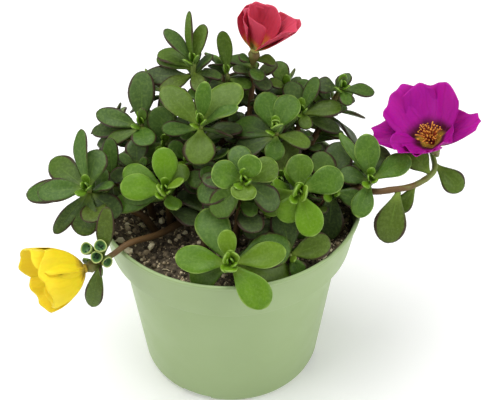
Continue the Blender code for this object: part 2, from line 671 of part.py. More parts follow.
def make_stamens(stem, axis):
    """The brush of stamens in the open flower: thin three-sided rods on a low dome."""
    axis = unit(axis)
    seat = flower_base(stem) + axis * (CALYX_HEIGHT + GAP + 2.4 + GAP)
    dome = tube_mesh(np.array([seat, seat + axis * 1.2]), (0.8, BRUSH_RADIUS * 0.6), 8, seat + axis * 2.2)
    meshes = [dome]
    for number in range(STAMENS):
        share = math.sqrt((number + 0.5) / STAMENS)
        directions = leaf_directions(axis, number * GOLDEN_TURN, STAMEN_SPREAD * share)
        start = seat + axis * 0.9
        path = start + np.outer((0.2, STAMEN_LENGTH * 0.8, STAMEN_LENGTH), directions[0])
        meshes.append(tube_mesh(path, (STAMEN_RADIUS, STAMEN_RADIUS, STAMEN_RADIUS * 1.9), 3,
                                path[-1] + directions[0] * 0.9))
    return fused_object("stamens_magenta", meshes, (0.75, 0.42, 0.06), 0.6)


def all_stems():
    """Every stem by name, with the back ones' leaves laid out by the golden angle."""
    stems = dict(STEMS)
    for name, (foot, crown, count, first) in BACK_STEMS.items():
        away = unit((crown[0], crown[1], 60.0))
        leaves = []
        for k in range(count):
            age = 1 - k / (count - 1)
            turn = (first + k * GOLDEN_TURN) % 360
            leaves.append((turn, 30 + 62 * age, BACK_LEAF_LENGTH * (0.42 + 0.58 * age),
                           BACK_LEAF_WIDTH * (0.45 + 0.55 * age)))
        stems[name] = (foot, crown, tuple(away), 7, tuple(leaves))
    return stems


def bent_clear(root, facing, leaf, blockers):
    """The leaf turned, opened or shortened by the least that clears its neighbours, or None."""
    turn, opening, length, width, *roll = leaf
    roll = roll[0] if roll else 0.0
    nudges = [
        (t, o, s)
        for s in (1.0, 0.85, 0.7)
        for t, o in ((0, 0), (0, -8), (0, 8), (9, 0), (-9, 0), (9, -9), (-9, -9), (9, 9), (-9, 9),
                     (0, -16), (0, 16), (18, 0), (-18, 0), (18, -14), (-18, -14), (26, 8), (-26, 8))
    ]
    for more_turn, more_open, share in nudges:
        directions = leaf_directions(facing, turn + more_turn, opening + more_open, roll)
        sizes = (length * share, width * (0.4 + 0.6 * share))
        probe = tree_of(*leaf_mesh(root, directions, *sizes, grow=CLEARANCE))
        if not any(probe.overlap(tree) for tree in blockers):
            return leaf_mesh(root, directions, *sizes)
    return None


def make_stems(blockers):
    """Every leafy stem as one solid, each leaf bent clear of what already stands there."""
    stems = all_stems()
    bodies = {}
    for name, (foot, crown, facing, leafy, leaves) in stems.items():
        path = stem_path(name, foot, crown, facing, STEM_STEP)
        radii = np.linspace(STEM_FOOT_RADIUS, STEM_TIP_RADIUS, len(path))
        tip = path[-1] + 1.2 * unit(path[-1] - path[-2])
        bodies[name] = [tube_mesh(path, radii, STEM_SIDES, tip)]
    for name, (stem, axis, petals) in FLOWERS.items():
        bodies[stem].append(calyx_mesh(flower_base(stem), unit(axis)))
    bodies["stem_yellow"] += cup_meshes("stem_yellow")
    trees = {name: [tree_of(*mesh) for mesh in meshes] for name, meshes in bodies.items()}
    for name, (foot, crown, facing, leafy, leaves) in stems.items():
        others = [tree for key, found in trees.items() if key != name for tree in found]
        fine = stem_path(name, foot, crown, facing, 1.0)
        run = np.append(0, np.cumsum(np.linalg.norm(np.diff(fine, axis=0), axis=1)))
        for number, leaf in enumerate(leaves):
            back = leafy * (1 - number / max(len(leaves) - 1, 1))
            root = np.array([np.interp(run[-1] - back, run, fine[:, k]) for k in range(3)])
            mesh = bent_clear(root, facing, leaf, blockers + others)
            if mesh is None:
                print("no room:", name, number)
                continue
            bodies[name].append(mesh)
            trees[name].append(tree_of(*mesh))
    for order, (name, (foot, crown, facing, leafy, leaves)) in enumerate(stems.items()):
        if name in BARE_STEMS:
            continue
        others = [tree for key, found in trees.items() if key != name for tree in found]
        fine = stem_path(name, foot, crown, facing, 1.0)
        run = np.append(0, np.cumsum(np.linalg.norm(np.diff(fine, axis=0), axis=1)))
        count = int((run[-1] - ROOT_DEPTH - leafy - OLD_LEAF_CLEAR) / OLD_LEAF_STEP)
        for k in range(max(count, 0)):
            back = leafy + OLD_LEAF_STEP * (k + 0.8)
            root = np.array([np.interp(run[-1] - back, run, fine[:, i]) for i in range(3)])
            leaf = (order * 77 + k * GOLDEN_TURN, OLD_LEAF_OPENING, OLD_LEAF_LENGTH, OLD_LEAF_WIDTH)
            mesh = bent_clear(root, (0, 0, 1), leaf, blockers + others)
            if mesh is None:
                print("no room: old", name, k)
                continue
            bodies[name].append(mesh)
            trees[name].append(tree_of(*mesh))
    for name, meshes in bodies.items():
        stem = fused_object(name, meshes, (0.12, 0.25, 0.06), 0.5)
        keep_largest(stem)
    return stems


def world_mesh(obj):
    """The object's points in millimetres and its faces."""
    return [tuple(v.co / MM) for v in obj.data.vertices], [tuple(p.vertices) for p in obj.data.polygons]


def main():
    for obj in list(bpy.data.objects):
        bpy.data.objects.remove(obj)
    pot = make_pot()
    soil = make_soil([stem[0] for stem in all_stems().values()])
    colours = {"bloom_magenta": (0.42, 0.01, 0.30), "bloom_red": (0.55, 0.03, 0.07),
               "bloom_yellow": (0.85, 0.62, 0.03)}
    blooms = [make_flower(name, *FLOWERS[name], colours[name]) for name in FLOWERS]
    blooms.append(make_stamens("stem_magenta", FLOWERS["bloom_magenta"][1]))
    make_stems([tree_of(*world_mesh(obj)) for obj in (pot, soil, *blooms)])


main()
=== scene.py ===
"""A flowering portulaca in a pale green nursery pot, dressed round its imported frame.

Every table is in millimetres in the frame's own axes: Z up, the pot on Z = 0, its axis on X = Y = 0.
The leafy stems, flowers and pot follow the solids' own rules, so each fine piece lies on the solid that
it replaces. Where a solid leaf was turned aside to clear a neighbour, `LeafyStem` tries the same small
turns and keeps the one that the solid's own corners confirm.
"""

import itertools
import logging
import math
from collections.abc import Iterable, Sequence
from dataclasses import dataclass, field
from enum import Enum

import bpy
import numpy as np
from mathutils import Matrix
from mathutils.bvhtree import BVHTree
from mathutils.kdtree import KDTree


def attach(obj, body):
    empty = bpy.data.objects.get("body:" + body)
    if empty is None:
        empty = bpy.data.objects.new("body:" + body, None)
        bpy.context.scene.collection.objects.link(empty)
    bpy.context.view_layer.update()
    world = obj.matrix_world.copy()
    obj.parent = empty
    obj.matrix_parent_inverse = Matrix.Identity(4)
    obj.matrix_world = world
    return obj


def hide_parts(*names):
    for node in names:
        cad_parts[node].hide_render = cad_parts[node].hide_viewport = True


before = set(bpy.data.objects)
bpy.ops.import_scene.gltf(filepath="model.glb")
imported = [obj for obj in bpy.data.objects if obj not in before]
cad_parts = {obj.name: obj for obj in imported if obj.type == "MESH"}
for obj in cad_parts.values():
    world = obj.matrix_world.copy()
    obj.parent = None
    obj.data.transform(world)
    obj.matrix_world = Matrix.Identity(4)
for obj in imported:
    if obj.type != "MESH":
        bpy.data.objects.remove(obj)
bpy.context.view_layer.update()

log = logging.getLogger("portulaca")

Vec = np.ndarray
Rgb = tuple[float, float, float]
Leaf = tuple[float, ...]
Directions = tuple[Vec, Vec, Vec]
Socket = bpy.types.NodeSocket

MM = 0.001
ROOT_BODY = "root"

# Pot
POT_HEIGHT = 95.0
RIM_RADIUS = 60.0
COLLAR_HEIGHT = 21.0
COLLAR_LOW_RADIUS = 56.0
BODY_TOP_RADIUS = 51.0
BASE_RADIUS = 43.0
BASE_ROUND = 4.0
WALL = 1.6
STEP_HEIGHT = POT_HEIGHT - COLLAR_HEIGHT
LEDGE_ROUND = 1.3
SHOULDER_ROUND = 0.9
FLOOR = 4.6
LIP_DROP = 2.4
CHANNEL_WIDTH = 15.0
CHANNEL_DEPTH = 2.6
CHANNEL_EXTRA = 0.8
CHANNEL_START = 18.0
CHANNEL_TURNS = (-114.0, -24.0, 66.0, 156.0)
DRAIN_RADIUS = 4.0
DRAIN_AT = 29.0

# Soil
SOIL_TOP = 85.0
GAP = 0.3
SOIL_SWELL = 1.1
ROOT_DEPTH = 12.0
PERLITE = (
    (-49.0, -19.0, 2.1),
    (-45.0, -26.0, 1.8),
    (-35.0, -24.0, 2.2),
    (-31.0, -8.0, 2.0),
    (-27.0, -46.0, 2.2),
    (-12.0, -51.0, 1.6),
    (24.0, -46.0, 1.8),
    (41.0, -32.0, 1.7),
    (44.0, 22.0, 2.0),
    (-38.0, 34.0, 2.2),
    (8.0, 50.0, 1.9),
)

# Leaves and stems
LEAF_THICK = 2.2
LEAF_WIDEST = 0.64
LEAF_NECK = 0.15
LEAF_SET = 0.6
LEAF_STATIONS = (0.0, 0.34, 0.66, 0.91)
SMALL_STATIONS = (0.0, 0.42, 0.82)
SMALL_LEAF = 9.0
LEAF_BEND = -0.35
SMALL_LEAF_BEND = 0.5
STEM_FOOT_RADIUS = 1.75
STEM_TIP_RADIUS = 1.15
CROWN_RUN = 9.0

# The directions in which a crown of leaves can look
VIEWER = (0.0, -0.76, 0.65)
FRONT = (0.0, -0.6, 0.8)
UPRIGHT = (0.0, -0.35, 0.94)
SKYWARD = (0.0, -0.1, 1.0)

# Each leafy stem: where it leaves the soil (x, y), the middle of its crown (x, y, z), the way the crown
# looks, the length of stem that carries leaves, and its leaves from the oldest to the youngest, each as
# turn about the crown (degrees, 0 to the right, 90 to the back), opening from the crown's axis
# (degrees), length, width, and where it isn't 0 the roll about its own length (degrees).
STEMS = {
    "stem_front": ((-3, -36), (0, -54, 104), FRONT, 6, (
        (20, 100, 27, 15), (115, 88, 27, 15), (205, 105, 21, 13), (-14, 108, 29, 12),
        (172, 82, 23, 12), (14, 80, 23, 11), (-50, 80, 23, 13.5), (98, 55, 14, 8),
        (-95, 45, 8, 6), (50, 40, 7, 5), (150, 35, 7, 5))),
    "stem_right_front": ((14, -30), (29, -30, 121), VIEWER, 6, (
        (-86, 100, 22, 13), (90, 72, 15, 11.5), (20, 80, 19, 12.5), (200, 84, 18, 12),
        (240, 74, 14, 11), (-72, 76, 19, 12.5), (-10, 30, 8, 7), (150, 30, 7, 6))),
    "stem_centre": ((2, -24), (6, -34, 131), FRONT, 6, (
        (190, 98, 21, 13), (-35, 92, 17, 11), (222, 102, 19, 12), (100, 76, 15, 10.5),
        (25, 68, 15, 11), (165, 62, 14, 12), (-95, 50, 10, 11), (62, 38, 12, 10))),
    "stem_top_left": ((-10, 8), (-15, 18, 154), SKYWARD, 8, (
        (178, 88, 22, 9, 30), (215, 84, 17, 9), (-2, 88, 12, 7), (-75, 86, 12, 8),
        (160, 78, 17, 7, 30), (50, 45, 8, 3), (150, 75, 17, 11), (60, 25, 18, 7.5),
        (150, 36, 19, 8), (120, 24, 22, 5, 75))),
    "stem_lone": ((-6, 14), (-0.5, 23.5, 144), SKYWARD, 6, (
        (185, 84, 15, 7.5, 20), (-25, 84, 11, 8), (100, 18, 19, 7))),
    "stem_mid_left": ((-4, 3), (-12, -7, 140), UPRIGHT, 5, (
        (250, 100, 14, 10), (180, 86, 16, 7, 30), (-5, 92, 14, 6, 60), (-90, 86, 17, 14),
        (135, 64, 23, 12.5), (45, 64, 24, 14), (18, 55, 18, 7, 20), (80, 28, 19, 7),
        (150, 20, 7, 3), (60, 15, 7, 3))),
    "stem_red": ((6, 10), (11, 25, 151), SKYWARD, 12, (
        (20, 50, 13, 7), (205, 62, 12, 8), (-60, 86, 12, 8.5), (140, 84, 14, 9),
        (75, 80, 12, 8), (180, 72, 7, 6), (-12, 84, 9.5, 7))),
    "stem_left_front": ((-27, -9), (-27, -25, 119), FRONT, 7, (
        (190, 96, 25, 10), (196, 76, 18, 7, 40), (58, 84, 14, 9), (150, 86, 21, 11),
        (174, 74, 19, 12), (92, 62, 18, 11), (-150, 35, 7, 6), (20, 32, 12, 6, 50))),
    "stem_far_left": ((-34, -14), (-60, -22, 118), (-0.2, -0.5, 0.85), 6, (
        (-40, 98, 16, 11), (262, 88, 19, 13), (230, 86, 23, 7, 20), (140, 84, 24, 12),
        (178, 82, 28, 11), (75, 72, 17, 12), (187, 66, 21, 11), (100, 66, 25, 8, 25))),
    "stem_left": ((-22, 6), (-38, 6, 130), UPRIGHT, 7, (
        (186, 98, 21, 8), (172, 92, 23, 9), (150, 84, 18, 9), (200, 88, 16, 8),
        (162, 78, 21, 9, 20), (88, 52, 24, 12), (-80, 60, 14, 11), (60, 30, 9, 5))),
    "stem_left_small": ((-35, -3), (-40, -10, 118), VIEWER, 4, (
        (-60, 78, 10, 8), (200, 84, 12, 7), (90, 72, 13, 10), (135, 60, 10, 5),
        (45, 58, 9, 4))),
    "stem_left_low": ((-36, 2), (-51, -10, 110), VIEWER, 5, (
        (215, 96, 15, 10), (-60, 92, 14, 9), (92, 78, 20, 8), (180, 80, 14, 8))),
    "stem_left_inner": ((-16, 12), (-28, 4, 121), VIEWER, 5, (
        (20, 92, 14, 10), (200, 94, 14, 10), (84, 84, 28, 10), (98, 66, 17, 12))),
    "stem_inner": ((-10, -14), (-18, -4, 118), FRONT, 4, (
        (-150, 84, 13, 9), (-25, 80, 14, 9), (135, 60, 11, 8), (-60, 34, 6, 5),
        (60, 80, 11, 8))),
    "stem_inner_front": ((-12, -28), (-6, -22, 118), VIEWER, 4, (
        (-100, 88, 13, 10), (160, 88, 13, 9), (120, 58, 10, 8), (20, 80, 11, 9))),
    "stem_upper_right": ((10, 0), (20, -3, 133), UPRIGHT, 6, (
        (195, 96, 19, 14), (150, 98, 22, 15), (-15, 88, 15, 9), (-95, 92, 12, 9),
        (108, 52, 18, 12), (62, 55, 17, 12), (90, 30, 6, 4), (-70, 26, 7, 6))),
    "stem_right_back": ((18, 8), (32, 14, 130), UPRIGHT, 6, (
        (-10, 96, 18, 8), (100, 90, 20, 13), (45, 86, 18, 11), (200, 92, 16, 11),
        (10, 74, 18, 10), (112, 58, 15, 10), (60, 50, 17, 7), (-80, 70, 10, 7))),
    "stem_back_middle": ((4, 18), (26, 26, 134), UPRIGHT, 5, (
        (160, 88, 15, 10), (60, 90, 16, 11), (-100, 86, 12, 9), (110, 60, 14, 9),
        (0, 60, 12, 8), (180, 40, 10, 6))),
    "stem_bud": ((24, 14), (50, 22, 137), (0.25, -0.35, 0.9), 2, (
        (172, 74, 11, 9), (0, 74, 15, 7), (-80, 66, 10, 7), (90, 40, 5, 3))),
    "stem_right_low": ((32, -16), (45, -13, 107), VIEWER, 7, (
        (-86, 92, 22, 13.5), (-30, 98, 18, 10), (80, 92, 22, 14), (110, 84, 18, 12),
        (0, 92, 14, 9))),
    "stem_low_right": ((18, -36), (25, -42, 96), VIEWER, 4, (
        (160, 84, 18, 12), (90, 80, 20, 13), (20, 84, 18, 12), (-60, 76, 14, 10))),
    "stem_right_inner": ((22, -6), (22, -12, 113), VIEWER, 4, (
        (90, 78, 18, 11.5), (200, 86, 12, 9), (-60, 90, 12, 9))),
    "stem_right": ((40, 4), (61, -14, 114), FRONT, 6, (
        (-150, 90, 14, 10), (160, 84, 14, 9), (75, 90, 18, 13), (-35, 96, 15, 8),
        (-112, 76, 18, 9.5), (30, 78, 20, 10), (98, 58, 20, 11), (120, 88, 25, 5))),
    "stem_magenta": ((36, 14), (91, 0, 118), VIEWER, 42, (
        (-104, 88, 24, 14), (-122, 100, 15, 8), (130, 80, 15, 11), (-46, 85, 17, 10.5),
        (160, 80, 14, 9), (100, 70, 12, 8))),
    "stem_yellow": ((-12, -5), (-56.5, -46, 96), (-0.75, -0.6, -0.1), 3, (
        (98, 106, 25, 7.5, -50), (285, 61, 23, 8.5, 45), (0, 75, 6, 5), (180, 72, 6, 5))),
}

# Stems at the back, which the front hides: soil point (x, y), crown (x, y, z), leaf count, first turn
BACK_STEMS = {
    "stem_back_left": ((-26, 18), (-52, 26, 116), 7, 20),
    "stem_back_left_high": ((-16, 24), (-32, 40, 128), 7, 75),
    "stem_back": ((-4, 30), (-4, 54, 118), 7, 140),
    "stem_back_high": ((-2, 20), (-2, 36, 140), 7, 200),
    "stem_back_right": ((14, 28), (26, 50, 120), 7, 260),
    "stem_back_far_right": ((30, 24), (52, 42, 114), 7, 320),
}
BACK_LEAF_LENGTH = 21.0
BACK_LEAF_WIDTH = 11.5
GOLDEN_TURN = 137.5

# Older leaves further down every stem, spaced by the golden angle
OLD_LEAF_STEP = 10.0
OLD_LEAF_LENGTH = 18.0
OLD_LEAF_WIDTH = 11.5
OLD_LEAF_OPENING = 74.0
OLD_LEAF_CLEAR = 10.0
BARE_STEMS = ("stem_magenta", "stem_yellow", "stem_bud")

# Small leaves low on the stems, which only the scene has: the lengths, turns and openings tried, the
# step along the stem from one to the next, and their width over their length. Then how near a tested
# point may come to a solid and to another small leaf, how far out it may be, and how low. Last, how
# near the leaves in a crown's middle may come to the other solids.
SMALL_LENGTHS = (12.0, 9.5, 7.5)
SMALL_TURNS = range(0, 360, 45)
SMALL_OPENINGS = (52, 74, 34)
SMALL_STEP = 2.6
SMALL_SHAPE = 0.62
SMALL_ROOM = 2.1
SMALL_SPACING = 3.0
SMALL_REACH = 64.0
SMALL_LOWEST = SOIL_TOP + 3.0
TUFT_ROOM = 1.5

# Points that a stem passes on its way from the soil to its crown
VIAS = {
    "stem_magenta": ((46, 4, 103), (60, -14, 108), (71, -16, 110), (81, -13, 110), (90, -6, 112)),
    "stem_yellow": ((-20, -12, 90), (-31, -24, 93), (-43, -35, 98)),
    "stem_far_left": ((-40, -16, 98),),
    "stem_bud": ((38, 17, 112),),
}

# Flowers: node, stem that carries it, axis, and its petals as turn, opening, length, width, curl
FLOWERS = {
    "bloom_magenta": ("stem_magenta", (-0.36, -0.2, 0.9), (
        (114, 50, 29, 25, -4), (70, 50, 27.5, 25, -4), (166, 67, 27, 18, 0), (204, 62, 21, 16, 14),
        (243, 60, 18, 18, 24), (308, 58, 19, 16, 20), (13, 84, 23, 15, 6))),
    "bloom_red": ("stem_red", (0.12, -0.05, 0.97), (
        (208, 21, 22, 16, 10), (332, 46, 24, 20, 4), (5, 50, 23, 17, 0), (55, 32, 20, 17, 8),
        (100, 28, 20, 18, 8), (150, 22, 21, 16, 10))),
    "bloom_yellow": ("stem_yellow", (-0.9, -0.42, 0.03), (
        (100, 54, 28, 24, 42), (40, 58, 27, 24, 42), (340, 54, 22, 22, 42), (282, 52, 21, 22, 38),
        (235, 56, 27, 24, 38), (175, 54, 29, 24, 42))),
}
PETAL_THICK = 0.7
PETAL_NOTCH = 0.05
PETAL_ROUND = 0.3
CALYX_HEIGHT = 4.2
CALYX_RADIUS = 2.7
STAMEN_LENGTH = 7.5
STAMEN_SPREAD = 42.0

# Open seed cups beside the yellow flower: the middle of each mouth (x, y, z) and its radius
SEED_CUPS = (
    ((-60.0, -46.5, 106.2), 3.0),
    ((-53.9, -46.0, 107.0), 3.1),
    ((-55.6, -49.0, 103.2), 2.9),
    ((-51.2, -48.5, 99.6), 2.7),
)
CUP_STALK = (-55.9, -45.0, 101.0)
CUP_DEPTH = 5.0
CUP_SLIMNESS = 0.88
CUP_PROFILE = (
    (0.42, -CUP_DEPTH), (0.62, -CUP_DEPTH + 0.6), (0.86, -2.9), (0.97, -1.5),
    (1.0, -0.35), (1.0, -0.08), (0.95, 0.1), (0.88, 0.05),
    (0.81, -0.3), (0.74, -1.2), (0.55, -2.1), (0.3, -2.5),
)

# Studio lights: name, place, and power in watts
LIGHTS = (
    ("top_light", (-200, 100, 1200), 11.0),
    ("left_light", (-1000, -400, 700), 6.2),
    ("right_light", (1000, -400, 600), 7.0),
)
LIGHT_SIDE = 0.9
LIGHT_TARGET = (0, 0, 110)
AIR_STRENGTH = 0.31
FLOOR_GLOW = 0.16

# Small turns, openings and shares of the size that a crowded leaf can take, in the order tried
NUDGES = (
    (0, 0), (0, -8), (0, 8), (9, 0), (-9, 0), (9, -9), (-9, -9), (9, 9), (-9, 9),
    (0, -16), (0, 16), (18, 0), (-18, 0), (18, -14), (-18, -14), (26, 8), (-26, 8),
)
NUDGE_SHARES = (1.0, 0.85, 0.7)


class Vigour(Enum):
    """How old a stem's crown looks, and for SHADED how much painted shade it takes: 0 is bright new growth
    and 1 is dark and grey.

    EDGED crowns are also yellower, as on the two long stems with a magenta and a yellow flower.
    """

    FRESH = 0.05
    GROWN = 0.3
    EDGED = 0.42
    # Painted shade: a darker, greyer tone, which every crown not listed in VIGOURS takes
    SHADED = 0.5
    OLD = 0.62


class Paint(Enum):
    """The material that a face of a leafy stem takes."""

    LEAF = 0
    STEM = 1
    CUP = 2


VIGOURS = {
    "stem_front": Vigour.FRESH,
    "stem_right_front": Vigour.FRESH,
    "stem_centre": Vigour.GROWN,
    "stem_right": Vigour.GROWN,
    "stem_upper_right": Vigour.GROWN,
    "stem_mid_left": Vigour.GROWN,
    "stem_left_front": Vigour.FRESH,
    "stem_right_low": Vigour.OLD,
    "stem_low_right": Vigour.OLD,
    "stem_right_inner": Vigour.OLD,
    "stem_left_low": Vigour.OLD,
    "stem_far_left": Vigour.SHADED,
    "stem_magenta": Vigour.EDGED,
    "stem_yellow": Vigour.EDGED,
    "stem_red": Vigour.OLD,
}

# How much of a stem's end is free of small leaves, where it isn't 5 mm
BARE_TIP = 5.0
BARE_TIPS = {"stem_magenta": 28.0, "stem_yellow": 28.0}

# Stems whose green end is longer
GREEN_STEMS = ("stem_magenta", "stem_front", "stem_right_front", "stem_left_front", "stem_top_left")


# Shared shape rules


def unit(vector: Sequence[float]) -> Vec:
    """Returns the vector at length 1."""
    v = np.asarray(vector, float)
    return v / np.linalg.norm(v)


def crown_axes(facing: Sequence[float]) -> Directions:
    """Finds the crown's axis and two directions across it.

    Args:
        facing: the way the crown looks.

    Returns:
        The axis, the direction across it that is nearest +X, and their cross product.
    """
    axis = unit(facing)
    across = unit(np.array((1.0, 0.0, 0.0)) - axis * axis[0])
    return axis, across, np.cross(axis, across)


def leaf_directions(
    facing: Sequence[float], turn: float, opening: float, roll: float = 0.0
) -> Directions:
    """Finds a leaf's own directions from where it stands in its crown.

    Args:
        facing: the way the crown looks.
        turn: degrees about the crown, 0 to the right and 90 to the back.
        opening: degrees from the crown's axis.
        roll: degrees about the leaf's own length.

    Returns:
        Along the leaf, across it, and out of its upper face.
    """
    axis, across, back = crown_axes(facing)
    turn, opening, roll = map(math.radians, (turn, opening, roll))
    out = math.cos(turn) * across + math.sin(turn) * back
    along = math.cos(opening) * axis + math.sin(opening) * out
    upper = unit(math.sin(opening) * axis - math.cos(opening) * out)
    side = np.cross(along, upper)
    turned = math.cos(roll) * side + math.sin(roll) * upper
    return along, turned, np.cross(turned, along)


def leaf_half_width(u: Vec) -> Vec:
    """Half width over the greatest: a sine rise from the neck, then a quarter ellipse to the tip.

    Args:
        u: share of the length, 0 at the neck and 1 at the tip.

    Returns:
        The share of the greatest half width at each u.
    """
    rise = LEAF_NECK + (1 - LEAF_NECK) * np.sin(np.pi / 2 * np.minimum(u / LEAF_WIDEST, 1)) ** 1.7
    fall = np.sqrt(np.clip(1 - (np.maximum(u - LEAF_WIDEST, 0) / (1 - LEAF_WIDEST)) ** 2, 0, 1))
    return rise * fall


def arc(root: Vec, along: Vec, upper: Vec, length: float, bend: float, u: Vec) -> tuple[Vec, Vec]:
    """Points of a circle's arc that leaves the root along `along` and turns towards `upper`.

    Args:
        root: where the arc starts.
        along: its first direction.
        upper: the side it turns to.
        length: its length.
        bend: how far it turns in all, in radians.
        u: shares of the length, of any shape.

    Returns:
        The points and the upper normals there, each with a last axis of 3.
    """
    angle = bend * u
    if abs(bend) < 1e-6:
        forward, rise = u * length, 0 * u
    else:
        forward = length * np.sin(angle) / bend
        rise = length * (1 - np.cos(angle)) / bend
    points = root + forward[..., None] * along + rise[..., None] * upper
    normals = -np.sin(angle)[..., None] * along + np.cos(angle)[..., None] * upper
    return points, normals


@dataclass(frozen=True)
class BladeSpot:
    """Where a leaf or petal starts, the ways it runs, and its size.

    Attributes:
        root: where it starts. For a leaf, this is on the stem's middle line.
        along: the way it runs.
        side: the way across it.
        upper: the way out of its upper or inner face.
        length: its length.
        width: its greatest width.
    """

    root: Vec
    along: Vec
    side: Vec
    upper: Vec
    length: float
    width: float

    def line(self, u: Vec) -> tuple[Vec, Vec]:
        """Points on a leaf's middle line, which starts just off the stem's middle, and the normals there.

        Args:
            u: shares of the length.

        Returns:
            The points and the upper normals.
        """
        neck = self.root + LEAF_SET * unit(self.along - self.upper * 0.3)
        bend = LEAF_BEND if self.length > SMALL_LEAF else SMALL_LEAF_BEND
        return arc(neck, self.along, self.upper, self.length, bend, u)


def around(count: int) -> Vec:
    """Returns the angles, in radians, of places spread evenly round a circle."""
    return np.linspace(0, 2 * np.pi, count, endpoint=False)


def smooth_path(points: Sequence[Sequence[float]], count: int) -> Vec:
    """Evenly spread points on the Catmull-Rom curve through the given points.

    Args:
        points: the points that the curve passes.
        count: how many points to return.

    Returns:
        An array of `count` points.
    """
    p = np.array([2 * np.array(points[0]) - points[1], *points, 2 * np.array(points[-1]) - points[-2]])
    t = np.linspace(0, 1, 12, endpoint=False)[:, None]
    spans = [
        0.5 * (2 * b + (c - a) * t + (2 * a - 5 * b + 4 * c - d) * t**2 + (3 * b - a - 3 * c + d) * t**3)
        for a, b, c, d in zip(p, p[1:], p[2:], p[3:])
    ]
    fine = np.vstack((*spans, p[-2:-1]))
    run = np.append(0, np.cumsum(np.linalg.norm(np.diff(fine, axis=0), axis=1)))
    at = np.linspace(0, run[-1], count)
    return np.stack([np.interp(at, run, fine[:, k]) for k in range(3)], axis=1)


def path_length(points: Sequence[Sequence[float]]) -> float:
    """Returns the length of the line through the points."""
    return float(np.linalg.norm(np.diff(np.array(points, float), axis=0), axis=1).sum())


def soil_height(x: Vec, y: Vec) -> Vec:
    """The soil's top: two crossing waves, lower towards the wall by the fourth power of the radius.

    Args:
        x: positions to the right.
        y: positions to the back.

    Returns:
        The height at each position.
    """
    waves = np.sin(0.21 * x + 0.4) * np.cos(0.17 * y) + 0.6 * np.sin(0.11 * x - 0.29 * y + 1.2)
    edge = (np.hypot(x, y) / RIM_RADIUS) ** 4
    return SOIL_TOP + SOIL_SWELL * waves - 2.0 * edge


def ripples(x: Vec, y: Vec, seed: int, longest: float, shortest: float, count: int = 40) -> Vec:
    """Uneven relief: a sum of sine waves in seeded directions, each as high as it is long.

    Args:
        x: positions to the right.
        y: positions to the back.
        seed: the seed of the directions and phases.
        longest: the longest wave.
        shortest: the shortest wave.
        count: how many waves there are.

    Returns:
        The relief at each position, about -1 to 1.
    """
    rng = np.random.default_rng(seed)
    size = np.geomspace(longest, shortest, count)
    heading = rng.uniform(0, 2 * np.pi, count)
    phase = rng.uniform(0, 2 * np.pi, count)
    total = np.zeros(np.shape(x))
    for length, angle, start in zip(size, heading, phase):
        way = x * math.cos(angle) + y * math.sin(angle)
        total += length / longest * np.sin(2 * np.pi * way / length + start)
    return total / math.sqrt(count / 4)


# Meshes


def marked(count: int, along: float | Vec = 0.0) -> Vec:
    """Makes the marks of some points.

    Args:
        count: how many points.
        along: the along mark of each.

    Returns:
        Their four marks, with every other mark at 0.
    """
    marks = np.zeros((count, 4))
    marks[:, 0] = along
    return marks


@dataclass
class Surface:
    """Points with their faces and four marks a point, which its materials read.

    Attributes:
        points: positions in millimetres.
        quads: four-sided faces.
        tris: three-sided faces.
        marks: along, across, age and tint of each point.
        paints: material number of each quad, then of each triangle.
    """

    points: Vec
    quads: Vec
    tris: Vec
    marks: Vec
    paints: tuple[Vec, Vec]

    @classmethod
    def joined(cls, parts: Iterable["Surface"]) -> "Surface":
        """Puts several surfaces in one.

        Args:
            parts: the surfaces.

        Returns:
            One surface with all their points and faces.
        """
        parts = list(parts)
        starts = np.append(0, np.cumsum([len(p.points) for p in parts]))[:-1]
        return cls(
            np.vstack([p.points for p in parts]),
            np.vstack([p.quads + s for p, s in zip(parts, starts)]),
            np.vstack([p.tris + s for p, s in zip(parts, starts)]),
            np.vstack([p.marks for p in parts]),
            (
                np.concatenate([p.paints[0] for p in parts]),
                np.concatenate([p.paints[1] for p in parts]),
            ),
        )

    def to_object(self, name: str, materials: Sequence[bpy.types.Material]) -> bpy.types.Object:
        """Makes the Blender object, in metres, at the origin.

        Args:
            name: the object's name.
            materials: its materials, in the order of the paint numbers.

        Returns:
            The object, smooth shaded, with the marks in a point attribute called "marks".
        """
        mesh = bpy.data.meshes.new(name)
        mesh.vertices.add(len(self.points))
        mesh.vertices.foreach_set("co", (self.points * MM).astype(np.float32).ravel())
        corners = np.concatenate((self.quads.ravel(), self.tris.ravel())).astype(np.int32)
        mesh.loops.add(len(corners))
        mesh.loops.foreach_set("vertex_index", corners)
        sizes = np.concatenate((np.full(len(self.quads), 4), np.full(len(self.tris), 3)))
        mesh.polygons.add(len(sizes))
        starts = np.append(0, np.cumsum(sizes))[:-1]
        mesh.polygons.foreach_set("loop_start", starts.astype(np.int32))
        mesh.update(calc_edges=True)
        for material in materials:
            mesh.materials.append(material)
        paints = np.concatenate(self.paints).astype(np.int32)
        mesh.polygons.foreach_set("material_index", paints)
        mesh.polygons.foreach_set("use_smooth", np.ones(len(sizes), bool))
        marks = mesh.attributes.new("marks", "FLOAT_COLOR", "POINT")
        marks.data.foreach_set("color", self.marks.astype(np.float32).ravel())
        mesh.validate()
        obj = bpy.data.objects.new(name, mesh)
        bpy.context.scene.collection.objects.link(obj)
        return obj


